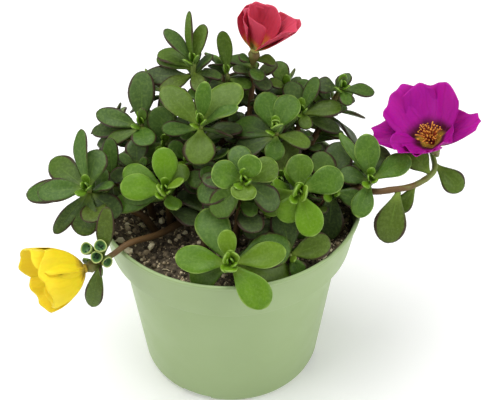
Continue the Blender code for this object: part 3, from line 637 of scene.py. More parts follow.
def skin(rings: Vec, marks: Vec, paint: int, first: Vec, last: Vec) -> Surface:
    """Closes a stack of rings into a body.

    Args:
        rings: points by ring and by place in the ring, which runs anticlockwise seen from the end.
        marks: the four marks of each of those points.
        paint: the material number.
        first: the point that closes the start.
        last: the point that closes the end.

    Returns:
        The body's surface, with a fan of triangles at each end.
    """
    count, sides = rings.shape[:2]
    place = np.arange(count * sides).reshape(count, sides)
    after = np.roll(place, -1, axis=1)
    quads = np.stack((place[:-1], after[:-1], after[1:], place[1:]), axis=-1).reshape(-1, 4)
    points, tags = [rings.reshape(-1, 3)], [marks.reshape(-1, 4)]
    tris, total = [np.zeros((0, 3), int)], count * sides
    for pole, ring, flip in ((first, 0, True), (last, count - 1, False)):
        points.append(np.asarray(pole, float).reshape(1, 3))
        tags.append(marks[ring].mean(axis=0).reshape(1, 4))
        a, b = place[ring], after[ring]
        hub = np.full(sides, total)
        tris.append(np.stack((b, a, hub) if flip else (a, b, hub), axis=-1))
        total += 1
    tris = np.vstack(tris)
    paints = (np.full(len(quads), paint), np.full(len(tris), paint))
    return Surface(np.vstack(points), quads, tris, np.vstack(tags), paints)


def tube(path: Vec, radii: Vec, sides: int, marks: Vec, paint: int, end: Vec | None = None) -> Surface:
    """A round tube: a circle carried along the path, its start direction carried on without twist.

    Args:
        path: the centre line.
        radii: the radius at each of its points.
        sides: how many points a ring has.
        marks: the four marks at each of its points.
        paint: the material number.
        end: the point that closes it, or None for the path's own end.

    Returns:
        The tube's surface.
    """
    tangents = np.gradient(path, axis=0)
    tangents /= np.linalg.norm(tangents, axis=1)[:, None]
    across = unit(np.cross(tangents[0], (0.31, 0.95, 0.05)))
    turns = around(sides)
    first = []
    for tangent in tangents:
        across = unit(across - tangent * (across @ tangent))
        first.append(across)
    first = np.array(first)
    other = np.cross(tangents, first)
    rings = path[:, None] + np.asarray(radii)[:, None, None] * (
        np.cos(turns)[None, :, None] * first[:, None] + np.sin(turns)[None, :, None] * other[:, None]
    )
    tags = np.repeat(np.asarray(marks)[:, None], sides, axis=1)
    return skin(rings, tags, paint, path[0], path[-1] if end is None else end)


def prism(outline: Vec, low: float, high: float) -> Surface:
    """An upright body with the same outline at both ends.

    Args:
        outline: the outline's points.
        low: its lower height.
        high: its upper height.

    Returns:
        The body's surface.
    """
    rings = np.stack([outline + (0, 0, z) for z in (low, high)])
    return skin(rings, np.zeros((*rings.shape[:2], 4)), 0, rings[0].mean(0), rings[1].mean(0))


def plate(top: Vec, bottom: Vec, marks: Vec) -> Surface:
    """Closes two grids of the same size into a thin blade.

    Args:
        top: points of the upper face by row and column.
        bottom: the points of the lower face.
        marks: the four marks of each point of one face.

    Returns:
        The blade's surface: both faces, and a strip round their shared edge.
    """
    rows, cols = top.shape[:2]
    n = rows * cols
    place = np.arange(n).reshape(rows, cols)
    a, b, c, d = place[:-1, :-1], place[:-1, 1:], place[1:, 1:], place[1:, :-1]
    upper = np.stack((a, b, c, d), axis=-1).reshape(-1, 4)
    rim = np.concatenate((place[0], place[1:, -1], place[-1, -2::-1], place[-2:0:-1, 0]))
    ahead = np.roll(rim, -1)
    band = np.stack((rim, rim + n, ahead + n, ahead), axis=-1)
    quads = np.vstack((upper, upper[:, ::-1] + n, band))
    points = np.vstack((top.reshape(-1, 3), bottom.reshape(-1, 3)))
    tags = np.vstack((marks.reshape(-1, 4),) * 2)
    paints = (np.zeros(len(quads), int), np.zeros(0, int))
    return Surface(points, quads, np.zeros((0, 3), int), tags, paints)


def turned(profile: Vec, sides: int) -> Surface:
    """Turns a profile about Z: each point's radius times the cosine and sine of the turn.

    Args:
        profile: radius and height of each point, from the axis inside, over the rim and down outside.
        sides: how many points a ring has.

    Returns:
        The closed surface, whose first and last points lie on the axis.
    """
    profile = np.asarray(profile, float)
    turns = around(sides)
    inner = profile[1:-1]
    rings = np.stack(
        (
            inner[:, :1] * np.cos(turns),
            inner[:, :1] * np.sin(turns),
            np.repeat(inner[:, 1:], sides, axis=1),
        ),
        axis=-1,
    )[:, ::-1]
    marks = np.zeros((*rings.shape[:2], 4))
    ends = [(0.0, 0.0, z) for z in (profile[0, 1], profile[-1, 1])]
    return skin(rings, marks, 0, np.array(ends[0]), np.array(ends[1]))


def lumps(centres: Vec, sizes: Vec, rng: np.random.Generator, marks: Vec, squash: float = 1.0) -> Surface:
    """Many small grains: one twenty-faced ball, its corners pushed in and out, turned and set each.

    Args:
        centres: where the grains sit.
        sizes: their radii.
        rng: the seeded source of their shapes.
        marks: the four marks of each grain.
        squash: height over width.

    Returns:
        One surface with all the grains.
    """
    gold = (1 + math.sqrt(5)) / 2
    ball = np.array([(-1, gold, 0), (1, gold, 0), (-1, -gold, 0), (1, -gold, 0),
                     (0, -1, gold), (0, 1, gold), (0, -1, -gold), (0, 1, -gold),
                     (gold, 0, -1), (gold, 0, 1), (-gold, 0, -1), (-gold, 0, 1)])
    ball /= np.linalg.norm(ball[0])
    faces = np.array([(0, 11, 5), (0, 5, 1), (0, 1, 7), (0, 7, 10), (0, 10, 11), (1, 5, 9), (5, 11, 4),
                      (11, 10, 2), (10, 7, 6), (7, 1, 8), (3, 9, 4), (3, 4, 2), (3, 2, 6), (3, 6, 8),
                      (3, 8, 9), (4, 9, 5), (2, 4, 11), (6, 2, 10), (8, 6, 7), (9, 8, 1)])
    count = len(centres)
    shapes = ball[None] * rng.uniform(0.72, 1.18, (count, 12, 1)) * rng.uniform(0.7, 1.2, (count, 1, 3))
    angle = rng.uniform(0, 2 * np.pi, count)
    cos, sin = np.cos(angle)[:, None], np.sin(angle)[:, None]
    x = shapes[..., 0] * cos - shapes[..., 2] * sin
    z = shapes[..., 0] * sin + shapes[..., 2] * cos
    shapes = np.stack((x, shapes[..., 1], z * squash), axis=-1)
    points = (centres[:, None] + shapes * np.asarray(sizes)[:, None, None]).reshape(-1, 3)
    tris = (faces[None] + 12 * np.arange(count)[:, None, None]).reshape(-1, 3)
    tags = np.repeat(marks, 12, axis=0)
    return Surface(points, np.zeros((0, 4), int), tris, tags, (np.zeros(0, int), np.zeros(len(tris), int)))


# Finishes


class Shader:
    """A material's nodes, laid out as they are made."""

    def __init__(self, name: str) -> None:
        """Starts a material with its one Principled shader.

        Args:
            name: the material's name.
        """
        self.material = bpy.data.materials.new(name)
        self.material.use_nodes = True
        self.tree = self.material.node_tree
        self.surface = self.tree.nodes["Principled BSDF"]
        self._made = 0

    def node(self, kind: str, **values: object) -> bpy.types.Node:
        """Adds a node.

        Args:
            kind: its type, without the ShaderNode part.
            values: its own settings by name.

        Returns:
            The node.
        """
        made = self.tree.nodes.new("ShaderNode" + kind)
        made.location = (-200 - 180 * (self._made % 8), 300 - 240 * (self._made // 8))
        self._made += 1
        for key, value in values.items():
            setattr(made, key, value)
        return made

    def put(self, value: object, socket: Socket) -> None:
        """Links a socket to another, or sets its value.

        Args:
            value: an output socket, a number or a colour.
            socket: the input that takes it.
        """
        if isinstance(value, Socket):
            self.tree.links.new(value, socket)
        elif isinstance(value, tuple) and len(value) == 3 and len(socket.default_value) == 4:
            socket.default_value = (*value, 1.0)
        else:
            socket.default_value = value

    def marks(self) -> tuple[Socket, ...]:
        """Returns the along, across, age and tint marks of the surface."""
        source = self.node("Attribute", attribute_name="marks", attribute_type="GEOMETRY")
        split = self.node("SeparateColor")
        self.put(source.outputs["Color"], split.inputs[0])
        return (*split.outputs[:3], source.outputs["Alpha"])

    def sums(self, operation: str, first: object, second: object = 0.0) -> Socket:
        """Does sums on one or two values.

        Args:
            operation: the Math node's operation.
            first: the first value.
            second: the second value.

        Returns:
            The result's socket.
        """
        made = self.node("Math", operation=operation)
        for value, socket in zip((first, second), made.inputs):
            self.put(value, socket)
        return made.outputs[0]

    def times(self, first: object, second: object) -> Socket:
        """Returns the product of two values."""
        return self.sums("MULTIPLY", first, second)

    def stirred(self, value: object, cloud: object, amount: float) -> Socket:
        """Moves a value up and down with a noise.

        Args:
            value: the value.
            cloud: the noise, about 0.5.
            amount: how much of the noise is added.

        Returns:
            The result's socket.
        """
        return self.sums("ADD", value, self.times(self.sums("SUBTRACT", cloud, 0.5), amount))

    def span(
        self, value: object, low: float, high: float, start: float = 0.0, end: float = 1.0
    ) -> Socket:
        """Maps low..high smoothly to start..end.

        Args:
            value: the value to map.
            low: where it starts.
            high: where it ends.
            start: the result at low.
            end: the result at high.

        Returns:
            The result's socket.
        """
        made = self.node("MapRange", interpolation_type="SMOOTHSTEP")
        for number, socket in zip((value, low, high, start, end), made.inputs):
            self.put(number, socket)
        return made.outputs[0]

    def mix(self, share: object, first: object, second: object) -> Socket:
        """Blends two colours.

        Args:
            share: how much of the second.
            first: the first colour.
            second: the second colour.

        Returns:
            The colour's socket.
        """
        made = self.node("Mix", data_type="RGBA")
        for value, socket in zip((share, first, second), (made.inputs[0], made.inputs[6], made.inputs[7])):
            self.put(value, socket)
        return made.outputs[2]

    def noise(self, scale: float, detail: float = 3.0, stretch: Rgb = (1.0, 1.0, 1.0)) -> Socket:
        """Cloudy noise on the object's own coordinates.

        Args:
            scale: blotches per metre.
            detail: how many finer layers it has.
            stretch: the scale along each axis.

        Returns:
            The noise's value, about 0.5.
        """
        where = self.node("TexCoord")
        turn = self.node("Mapping")
        self.put(where.outputs["Object"], turn.inputs["Vector"])
        turn.inputs["Scale"].default_value = stretch
        made = self.node("TexNoise")
        self.put(turn.outputs[0], made.inputs["Vector"])
        made.inputs["Scale"].default_value = scale
        made.inputs["Detail"].default_value = detail
        return made.outputs[0]

    def bump(self, height: object, depth: float, after: object = None) -> Socket:
        """Makes the surface look raised.

        Args:
            height: the height, 0 to 1.
            depth: what 1 is, in millimetres.
            after: a bump that comes first.

        Returns:
            The normal's socket.
        """
        made = self.node("Bump")
        made.inputs["Distance"].default_value = depth * MM
        made.inputs["Strength"].default_value = 1.0
        self.put(height, made.inputs["Height"])
        if after is not None:
            self.put(after, made.inputs["Normal"])
        return made.outputs[0]

    def finish(
        self, colour: object, roughness: object, normal: object = None, **values: float
    ) -> bpy.types.Material:
        """Connects the shader.

        Args:
            colour: its base colour.
            roughness: its roughness.
            normal: its bump, if any.
            values: other sockets by name, with underscores for spaces.

        Returns:
            The material.
        """
        self.put(colour, self.surface.inputs["Base Color"])
        self.put(roughness, self.surface.inputs["Roughness"])
        if normal is not None:
            self.put(normal, self.surface.inputs["Normal"])
        for key, value in values.items():
            self.surface.inputs[key.replace("_", " ")].default_value = value
        return self.material


@dataclass(frozen=True)
class LeafFinish:
    """Fleshy leaves: bright when new, with a pale edge that is partly a painted highlight, dark with a
    red-brown edge when old, paler underneath.
    """

    young: Rgb = (0.112, 0.240, 0.005)
    grown: Rgb = (0.050, 0.118, 0.010)
    old: Rgb = (0.034, 0.060, 0.014)
    yellowed: Rgb = (0.115, 0.160, 0.012)
    greyed: Rgb = (0.062, 0.088, 0.036)
    rib: Rgb = (0.14, 0.24, 0.035)
    neck: Rgb = (0.24, 0.34, 0.05)
    under: Rgb = (0.11, 0.17, 0.055)
    red_edge: Rgb = (0.042, 0.019, 0.013)
    # Pale green for the fine mottle, and for the edge of young leaves, where it is partly a painted
    # highlight
    pale_green_and_highlight: Rgb = (0.34, 0.50, 0.10)
    dust: Rgb = (0.20, 0.26, 0.14)
    gloss: float = 0.42

    def build(self) -> bpy.types.Material:
        """Makes the material.

        Returns:
            A green set by the age mark and shifted by a number that each leaf has in its tint mark,
            with rib, neck and edge placed by the along and across marks. The pale edge of young
            leaves is partly their own margin and partly a painted highlight.
        """
        s = Shader("leaf_flesh")
        along, across, age, tint = s.marks()
        mid = s.sums("ABSOLUTE", s.sums("SUBTRACT", s.times(across, 2.0), 1.0))
        top = s.span(tint, 0.45, 0.55)
        own = s.times(s.sums("SUBTRACT", tint, s.times(top, 0.6)), 2.5)
        cloud = s.noise(160.0, 4.0)
        fine = s.noise(900.0, 3.0)
        aged = s.stirred(age, cloud, 0.30)
        green = s.mix(s.span(aged, 0.0, 0.5), self.young, self.grown)
        green = s.mix(s.span(aged, 0.5, 1.0), green, self.old)
        green = s.mix(s.span(own, 0.55, 1.0, 0.0, 0.42), green, self.yellowed)
        grey = s.times(s.span(own, 0.0, 0.45, 0.6, 0.0), s.span(age, 0.2, 0.7))
        green = s.mix(grey, green, self.greyed)
        green = s.mix(s.span(fine, 0.40, 0.72, 0.0, 0.11), green, self.pale_green_and_highlight)
        low = s.span(along, 0.0, 0.32, 0.75, 0.0)
        green = s.mix(s.times(low, s.span(mid, 0.2, 1.0, 1.0, 0.4)), green, self.neck)
        line = s.times(s.span(mid, 0.0, 0.09, 1.0, 0.0), s.span(along, 0.3, 0.9, 0.42, 0.0))
        green = s.mix(s.times(line, top), green, self.rib)
        green = s.mix(s.times(s.sums("SUBTRACT", 1.0, top), 0.55), green, self.under)
        ragged = s.stirred(mid, cloud, 0.12)
        wide = s.sums("ADD", ragged, s.span(aged, 0.36, 0.62, 0.0, 0.13))
        far = s.span(along, 0.25, 0.6)
        tip = s.span(along, 0.94, 1.0, 0.0, 1.0)
        rim = s.sums("MAXIMUM", s.times(s.span(wide, 0.90, 1.0), far), s.times(tip, 0.8))
        # Painted highlight: young leaves take the pale green on their rim and tip, partly their own paler
        # margin and partly light caught by the rounded edge; old leaves take their own red-brown edge
        edge = s.mix(s.span(aged, 0.36, 0.5), self.pale_green_and_highlight, self.red_edge)
        green = s.mix(s.times(rim, s.span(aged, 0.1, 0.6, 0.62, 0.92)), green, edge)
        specks = s.span(s.noise(2600.0, 1.0), 0.66, 0.74, 0.0, 0.35)
        green = s.mix(specks, green, self.dust)
        rough = s.span(cloud, 0.2, 0.8, self.gloss - 0.06, self.gloss + 0.12)
        normal = s.bump(cloud, 0.35)
        normal = s.bump(fine, 0.10, normal)
        normal = s.bump(s.noise(3200.0, 1.0), 0.03, normal)
        return s.finish(green, rough, normal, Specular_IOR_Level=0.21)


@dataclass(frozen=True)
class StemFinish:
    """Round stems: brown, redder further up, and green towards the crown."""

    old: Rgb = (0.066, 0.038, 0.017)
    red: Rgb = (0.140, 0.078, 0.029)
    new: Rgb = (0.20, 0.27, 0.06)

    def build(self) -> bpy.types.Material:
        """Returns the material: along runs from soil to crown, and age makes the green end longer."""
        s = Shader("stem_skin")
        along, _, age, _ = s.marks()
        cloud = s.noise(240.0, 3.0)
        way = s.stirred(along, cloud, 0.35)
        colour = s.mix(s.span(way, 0.1, 0.6), self.old, self.red)
        fresh = s.sums("ADD", way, s.times(age, 0.22))
        colour = s.mix(s.span(fresh, 0.80, 1.05), colour, self.new)
        colour = s.mix(s.span(s.noise(1400.0), 0.5, 0.8, 0.0, 0.4), colour, self.old)
        normal = s.bump(s.noise(700.0, 4.0), 0.15)
        return s.finish(colour, 0.5, normal, Specular_IOR_Level=0.25)


@dataclass(frozen=True)
class PetalFinish:
    """Thin petals with veins that fan out from the base.

    Attributes:
        name: the material's name.
        blade: the main colour.
        base: the colour at the foot.
        edge: the colour at the rim.
        vein: the colour of the veins.
        heart: the colour where the petal starts, inside the foot's colour.
        foot: where the foot's colour ends, as a share of the length.
        lines: how strong the veins are.
    """

    name: str
    blade: Rgb
    base: Rgb
    edge: Rgb
    vein: Rgb
    heart: Rgb
    foot: float = 0.3
    lines: float = 0.3

    def build(self) -> bpy.types.Material:
        """Returns the material: two sines of the across mark, bent by noise, draw the veins."""
        s = Shader(self.name)
        along, across, _, tint = s.marks()
        cloud = s.noise(120.0, 3.0)
        way = s.stirred(along, cloud, 0.18)
        colour = s.mix(s.span(way, self.foot * 0.3, self.foot * 0.55), self.heart, self.base)
        colour = s.mix(s.span(way, self.foot * 0.6, self.foot), colour, self.blade)
        colour = s.mix(s.span(way, 0.7, 1.05, 0.0, 0.6), colour, self.edge)
        bent = s.sums("ADD", s.times(across, 70.0), s.times(cloud, 16.0))
        slow = s.sums("ADD", s.times(across, 31.0), s.times(cloud, 9.0))
        lines = s.sums("ADD", s.times(s.sums("SINE", bent), 0.55), s.times(s.sums("SINE", slow), 0.55))
        colour = s.mix(s.span(lines, 0.3, 1.0, 0.0, self.lines), colour, self.vein)
        colour = s.mix(s.span(tint, 0.0, 1.0, 0.0, 0.18), colour, self.vein)
        normal = s.bump(lines, 0.05)
        normal = s.bump(s.noise(420.0, 4.0), 0.18, normal)
        return s.finish(
            colour, 0.55, normal, Specular_IOR_Level=0.15, Subsurface_Weight=0.12, Subsurface_Scale=0.002
        )


PETAL_FINISHES = {
    "bloom_magenta": PetalFinish(
        "petal_magenta", (0.36, 0.004, 0.26), (0.055, 0.002, 0.012), (0.42, 0.008, 0.32), (0.22, 0.0, 0.15),
        (0.55, 0.36, 0.03), 0.48, 0.26
    ),
    "bloom_red": PetalFinish(
        "petal_red", (0.55, 0.052, 0.095), (0.66, 0.19, 0.06), (0.64, 0.075, 0.135), (0.38, 0.016, 0.04),
        (0.46, 0.42, 0.12), 0.46, 0.16
    ),
    "bloom_yellow": PetalFinish(
        "petal_yellow", (0.83, 0.625, 0.016), (0.66, 0.44, 0.02), (0.90, 0.72, 0.04), (0.70, 0.46, 0.01),
        (0.40, 0.28, 0.03), 0.26, 0.12
    ),
}

# Each bloom's crinkle, ragged and, where its rim juts out, point
RUFFLES = {"bloom_magenta": (1.15, 0.034), "bloom_red": (0.7, 0.014, 0.045), "bloom_yellow": (0.6, 0.022)}


@dataclass(frozen=True)
class PlasticFinish:
    """Moulded pot plastic: pale sage green, satin, with faint mould marks and a little dust."""

    green: Rgb = (0.303, 0.408, 0.182)
    shade: Rgb = (0.286, 0.386, 0.170)
    dust: Rgb = (0.26, 0.30, 0.16)

    def build(self) -> bpy.types.Material:
        """Returns the material."""
        s = Shader("pot_plastic")
        cloud = s.noise(22.0, 3.0)
        colour = s.mix(s.span(cloud, 0.3, 0.7), self.green, self.shade)
        specks = s.span(s.noise(1500.0, 2.0), 0.70, 0.78, 0.0, 0.25)
        colour = s.mix(specks, colour, self.dust)
        rough = s.span(s.noise(60.0, 4.0), 0.3, 0.7, 0.36, 0.46)
        normal = s.bump(s.noise(1100.0, 2.0), 0.02)
        normal = s.bump(s.noise(45.0, 2.0, (1.0, 1.0, 0.25)), 0.12, normal)
        return s.finish(colour, rough, normal, Specular_IOR_Level=0.45)


@dataclass(frozen=True)
class PeatFinish:
    """Damp peat: near black, with browner and tan crumbs by the tint mark."""

    dark: Rgb = (0.068, 0.054, 0.036)
    brown: Rgb = (0.40, 0.31, 0.19)
    tan: Rgb = (1.0, 0.86, 0.56)

    def build(self) -> bpy.types.Material:
        """Returns the material."""
        s = Shader("peat")
        _, _, _, tint = s.marks()
        cloud = s.noise(700.0, 5.0)
        way = s.stirred(tint, cloud, 0.5)
        colour = s.mix(s.span(way, 0.15, 0.6), self.dark, self.brown)
        colour = s.mix(s.span(way, 0.72, 1.0), colour, self.tan)
        normal = s.bump(s.noise(1500.0, 4.0), 0.5)
        return s.finish(colour, 0.85, normal, Specular_IOR_Level=0.25)


@dataclass(frozen=True)
class PerliteFinish:
    """Perlite: chalky white grains, a little stained by the peat."""

    white: Rgb = (1.0, 0.90, 0.62)
    stain: Rgb = (0.86, 0.68, 0.40)

    def build(self) -> bpy.types.Material:
        """Returns the material."""
        s = Shader("perlite")
        colour = s.mix(s.span(s.noise(600.0, 4.0), 0.48, 0.72, 0.0, 0.8), self.white, self.stain)
        normal = s.bump(s.noise(2200.0, 3.0), 0.35)
        return s.finish(colour, 0.9, normal, Specular_IOR_Level=0.2)


@dataclass(frozen=True)
class AntherFinish:
    """Stamens: wine red threads that turn yellow, with dusty orange ends."""

    thread: Rgb = (0.20, 0.008, 0.012)
    middle: Rgb = (0.46, 0.075, 0.014)
    pollen: Rgb = (0.66, 0.27, 0.025)

    def build(self) -> bpy.types.Material:
        """Returns the material: the along mark runs from a thread's foot to its end."""
        s = Shader("anthers")
        along, _, _, _ = s.marks()
        colour = s.mix(s.span(along, 0.1, 0.75), self.thread, self.middle)
        colour = s.mix(s.span(along, 0.75, 0.95), colour, self.pollen)
        normal = s.bump(s.noise(3500.0, 2.0), 0.1)
        return s.finish(colour, 0.7, normal)


@dataclass(frozen=True)
class CupFinish:
    """Open seed cups: dull green walls, a pale green rim, green inside, and very dark seeds."""

    wall: Rgb = (0.17, 0.24, 0.05)
    rim: Rgb = (0.38, 0.46, 0.14)
    inside: Rgb = (0.10, 0.24, 0.07)
    seed: Rgb = (0.02, 0.045, 0.02)

    def build(self) -> bpy.types.Material:
        """Returns the material: along runs from the cup's foot over its rim to its floor."""
        s = Shader("seed_cup")
        along, _, _, tint = s.marks()
        colour = s.mix(s.span(along, 0.3, 0.42), self.wall, self.rim)
        colour = s.mix(s.span(along, 0.68, 0.78), colour, self.inside)
        colour = s.mix(tint, colour, self.seed)
        normal = s.bump(s.noise(1200.0, 3.0), 0.1)
        return s.finish(colour, 0.45, normal)


# Sub-assemblies


def place(obj: bpy.types.Object, slot: str, replaced: Sequence[str] = ()) -> None:
    """Sets a finished piece on the plant's one body and reports it.

    Args:
        obj: the piece.
        slot: not used.
        replaced: the solids that it stands for.
    """
    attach(obj, ROOT_BODY)
    for node in replaced:
        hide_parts(node)
    log.info("%s: %d faces", obj.name, len(obj.data.polygons))


@dataclass
class NurseryPot:
    """The plastic pot: a turned shell with a collar, over shallow drain channels."""

    sides: int = 144
    lip: float = 0.9

    def inner_radius(self, z: float) -> float:
        """Returns the inner wall's radius at a height: the outer cone less the wall.

        Args:
            z: the height.
        """
        if z >= STEP_HEIGHT + WALL:
            share = (z - STEP_HEIGHT) / COLLAR_HEIGHT
            return COLLAR_LOW_RADIUS + (RIM_RADIUS - COLLAR_LOW_RADIUS) * share - WALL
        return BASE_RADIUS + (BODY_TOP_RADIUS - BASE_RADIUS) * z / STEP_HEIGHT - WALL

    def profile(self) -> Vec:
        """Radius and height down the pot's half section, with each round drawn as an arc.

        Returns:
            The points from the axis inside, over the lip and down the outside.
        """
        lip_arc = np.linspace(np.pi, -0.25 * np.pi, 9)
        lip_at = (RIM_RADIUS - self.lip, POT_HEIGHT - self.lip)
        lip = [(lip_at[0] + self.lip * math.cos(a), lip_at[1] + self.lip * math.sin(a)) for a in lip_arc]
        fillet = np.linspace(0, np.pi / 2, 6)
        ledge = [
            (
                BODY_TOP_RADIUS + LEDGE_ROUND * (1 - math.cos(a)),
                STEP_HEIGHT - 2.0 + LEDGE_ROUND * math.sin(a),
            )
            for a in fillet
        ]
        middle = COLLAR_LOW_RADIUS - SHOULDER_ROUND
        shoulder = [
            (middle + SHOULDER_ROUND * math.cos(a), STEP_HEIGHT + 0.3 - SHOULDER_ROUND * math.sin(a))
            for a in fillet
        ]
        corner = [
            (BASE_RADIUS - BASE_ROUND + BASE_ROUND * math.cos(a), BASE_ROUND * (1 - math.sin(a)))
            for a in np.linspace(0, np.pi / 2, 8)
        ]
        return np.array([
            (0.0, FLOOR),
            (BASE_RADIUS - 5.0, FLOOR),
            (self.inner_radius(8.0), 7.8),
            (self.inner_radius(STEP_HEIGHT - 1), STEP_HEIGHT + 0.4),
            (self.inner_radius(STEP_HEIGHT + 3), STEP_HEIGHT + 2.2),
            *lip,
            (RIM_RADIUS - 0.25, POT_HEIGHT - LIP_DROP),
            (RIM_RADIUS - 0.9, POT_HEIGHT - LIP_DROP - 0.5),
            *shoulder,
            *ledge[::-1],
            *corner,
            (0.0, 0.0),
        ])

    def cutters(self) -> list[Surface]:
        """Returns the bodies to cut away: a flat bar under the base for each drain, and its round hole.

        The bars go a little deeper than the solid's channels, so the notch in the foot shows.
        """
        bodies = []
        for turn in CHANNEL_TURNS:
            a = math.radians(turn - 90)
            out = np.array((math.cos(a), math.sin(a), 0.0))
            side = np.array((-math.sin(a), math.cos(a), 0.0))
            corners = [(CHANNEL_START, -1), (BASE_RADIUS + 6, -1), (BASE_RADIUS + 6, 1), (CHANNEL_START, 1)]
            ring = np.array([r * out + s * side * CHANNEL_WIDTH / 2 for r, s in corners])
            bodies.append(prism(ring, -3.0, CHANNEL_DEPTH + CHANNEL_EXTRA))
            turns = around(32)
            circle = np.stack((np.cos(turns), np.sin(turns), 0 * turns), axis=1) * DRAIN_RADIUS
            bodies.append(prism(DRAIN_AT * out + circle, -4.0, 8.0))
        return bodies

    def build(self) -> bpy.types.Object:
        """Returns the finished pot, in place of its solid."""
        pot = turned(self.profile(), self.sides).to_object("nursery_pot", [PlasticFinish().build()])
        cutter = Surface.joined(self.cutters()).to_object("drain_cutter", [])
        cut = pot.modifiers.new("drains", "BOOLEAN")
        cut.operation = "DIFFERENCE"
        cut.solver = "EXACT"
        cut.use_self = True
        cut.object = cutter
        graph = bpy.context.evaluated_depsgraph_get()
        made = bpy.data.meshes.new_from_object(pot.evaluated_get(graph))
        pot.modifiers.clear()
        pot.data = made
        bpy.data.objects.remove(cutter)
        pot.data.set_sharp_from_angle(angle=math.radians(38))
        place(pot, "pot", ["pot"])
        return pot


@dataclass
class RootBall:
    """The peat: a rough top sheet, thousands of crumbs, fibres, and white perlite grains."""

    sides: int = 180
    rings: int = 64
    crumbs: int = 4200
    fibres: int = 130
    grit: int = 90
    seed: int = 11

    def top(self, x: Vec, y: Vec) -> Vec:
        """Height of the rough top: the solid's height plus seeded ripples under a millimetre.

        Args:
            x: positions to the right.
            y: positions to the back.

        Returns:
            The height at each position.
        """
        return soil_height(x, y) + 0.55 * ripples(x, y, self.seed, 9.0, 1.1)

    def body(self) -> Surface:
        """Returns the ball: rings up the pot's wall, then in over the rough top to its middle."""
        pot = NurseryPot()
        turns = around(self.sides)
        circle = np.stack((np.cos(turns), np.sin(turns)), axis=1)
        levels = [
            (BASE_RADIUS - 6.0, FLOOR + GAP),
            (pot.inner_radius(8.0) - GAP, 8.6),
            (pot.inner_radius(STEP_HEIGHT - 1) - GAP - 0.1, STEP_HEIGHT + 0.4),
            (pot.inner_radius(STEP_HEIGHT + 3) - GAP, STEP_HEIGHT + 2.8),
        ]
        low = [np.column_stack((circle * r, np.full(self.sides, z))) for r, z in levels]
        reach = pot.inner_radius(SOIL_TOP - 3) - GAP
        radii = reach * (1 - np.arange(self.rings) / self.rings)
        xy = circle[None] * radii[:, None, None]
        high = np.dstack((xy, self.top(xy[..., 0], xy[..., 1])))
        rings = np.concatenate((np.array(low), high))
        marks = np.full((*rings.shape[:2], 4), 0.25)
        centre = (0.0, 0.0, float(self.top(np.zeros(1), np.zeros(1))[0]))
        return skin(rings, marks, 0, np.array((0.0, 0.0, FLOOR + GAP)), np.array(centre))

    def scattered(self, rng: np.random.Generator, count: int) -> tuple[Vec, Vec]:
        """Picks places spread evenly over the soil's top.

        Args:
            rng: the seeded source.
            count: how many places.

        Returns:
            Their x and y.
        """
        radius = (NurseryPot().inner_radius(SOIL_TOP) - 1.5) * np.sqrt(rng.uniform(0, 1, count))
        angle = rng.uniform(0, 2 * np.pi, count)
        return radius * np.cos(angle), radius * np.sin(angle)

    def crumb_surface(self, rng: np.random.Generator) -> Surface:
        """Returns the crumbs: many small ones and a few big, in black, brown and tan."""
        x, y = self.scattered(rng, self.crumbs)
        size = 0.3 + 1.35 * rng.random(self.crumbs) ** 3
        z = self.top(x, y) + size * rng.uniform(-0.1, 0.6, self.crumbs)
        marks = np.zeros((self.crumbs, 4))
        marks[:, 3] = rng.choice((0.1, 0.35, 0.6, 0.9), self.crumbs, p=(0.32, 0.24, 0.22, 0.22))
        return lumps(np.column_stack((x, y, z)), size, rng, marks, 0.7)

    def fibre_surface(self, rng: np.random.Generator) -> Surface:
        """Returns short bent root fibres that lie on the top."""
        strands = []
        x, y = self.scattered(rng, self.fibres)
        for a, b in zip(x, y):
            heading, bend, length = rng.uniform(0, 6.28), rng.uniform(-0.6, 0.6), rng.uniform(2.5, 7.5)
            t = np.linspace(0, 1, 6)
            px = a + length * t * np.cos(heading + bend * t)
            py = b + length * t * np.sin(heading + bend * t)
            inside = np.hypot(px, py) < RIM_RADIUS - 5
            px, py = np.where(inside, px, a), np.where(inside, py, b)
            if not inside.all():
                continue
            pz = self.top(px, py) + 0.35 + 0.5 * np.sin(np.pi * t)
            marks = np.tile((0.0, 0.0, 0.0, rng.uniform(0.6, 1.0)), (6, 1))
            radii = np.full(6, rng.uniform(0.09, 0.2))
            strands.append(tube(np.column_stack((px, py, pz)), radii, 4, marks, 0))
        return Surface.joined(strands)

    def build(self) -> list[bpy.types.Object]:
        """Returns the peat, in place of its solid, and the perlite on it."""
        rng = np.random.default_rng(self.seed)
        peat = Surface.joined((self.body(), self.crumb_surface(rng), self.fibre_surface(rng)))
        peat_object = peat.to_object("peat", [PeatFinish().build()])
        place(peat_object, "soil", ["soil"])
        big = np.array(PERLITE)
        x, y = self.scattered(rng, self.grit)
        size = np.concatenate((big[:, 2] * 1.1, 0.35 + 1.1 * rng.random(self.grit) ** 2))
        x, y = np.concatenate((big[:, 0], x)), np.concatenate((big[:, 1], y))
        z = self.top(x, y) + 0.45 * size
        grains = lumps(np.column_stack((x, y, z)), size, rng, marked(len(x)), 0.85)
        perlite = grains.to_object("perlite", [PerliteFinish().build()])
        perlite.data.polygons.foreach_set("use_smooth", np.zeros(len(perlite.data.polygons), bool))
        place(perlite, "soil")
        return [peat_object, perlite]


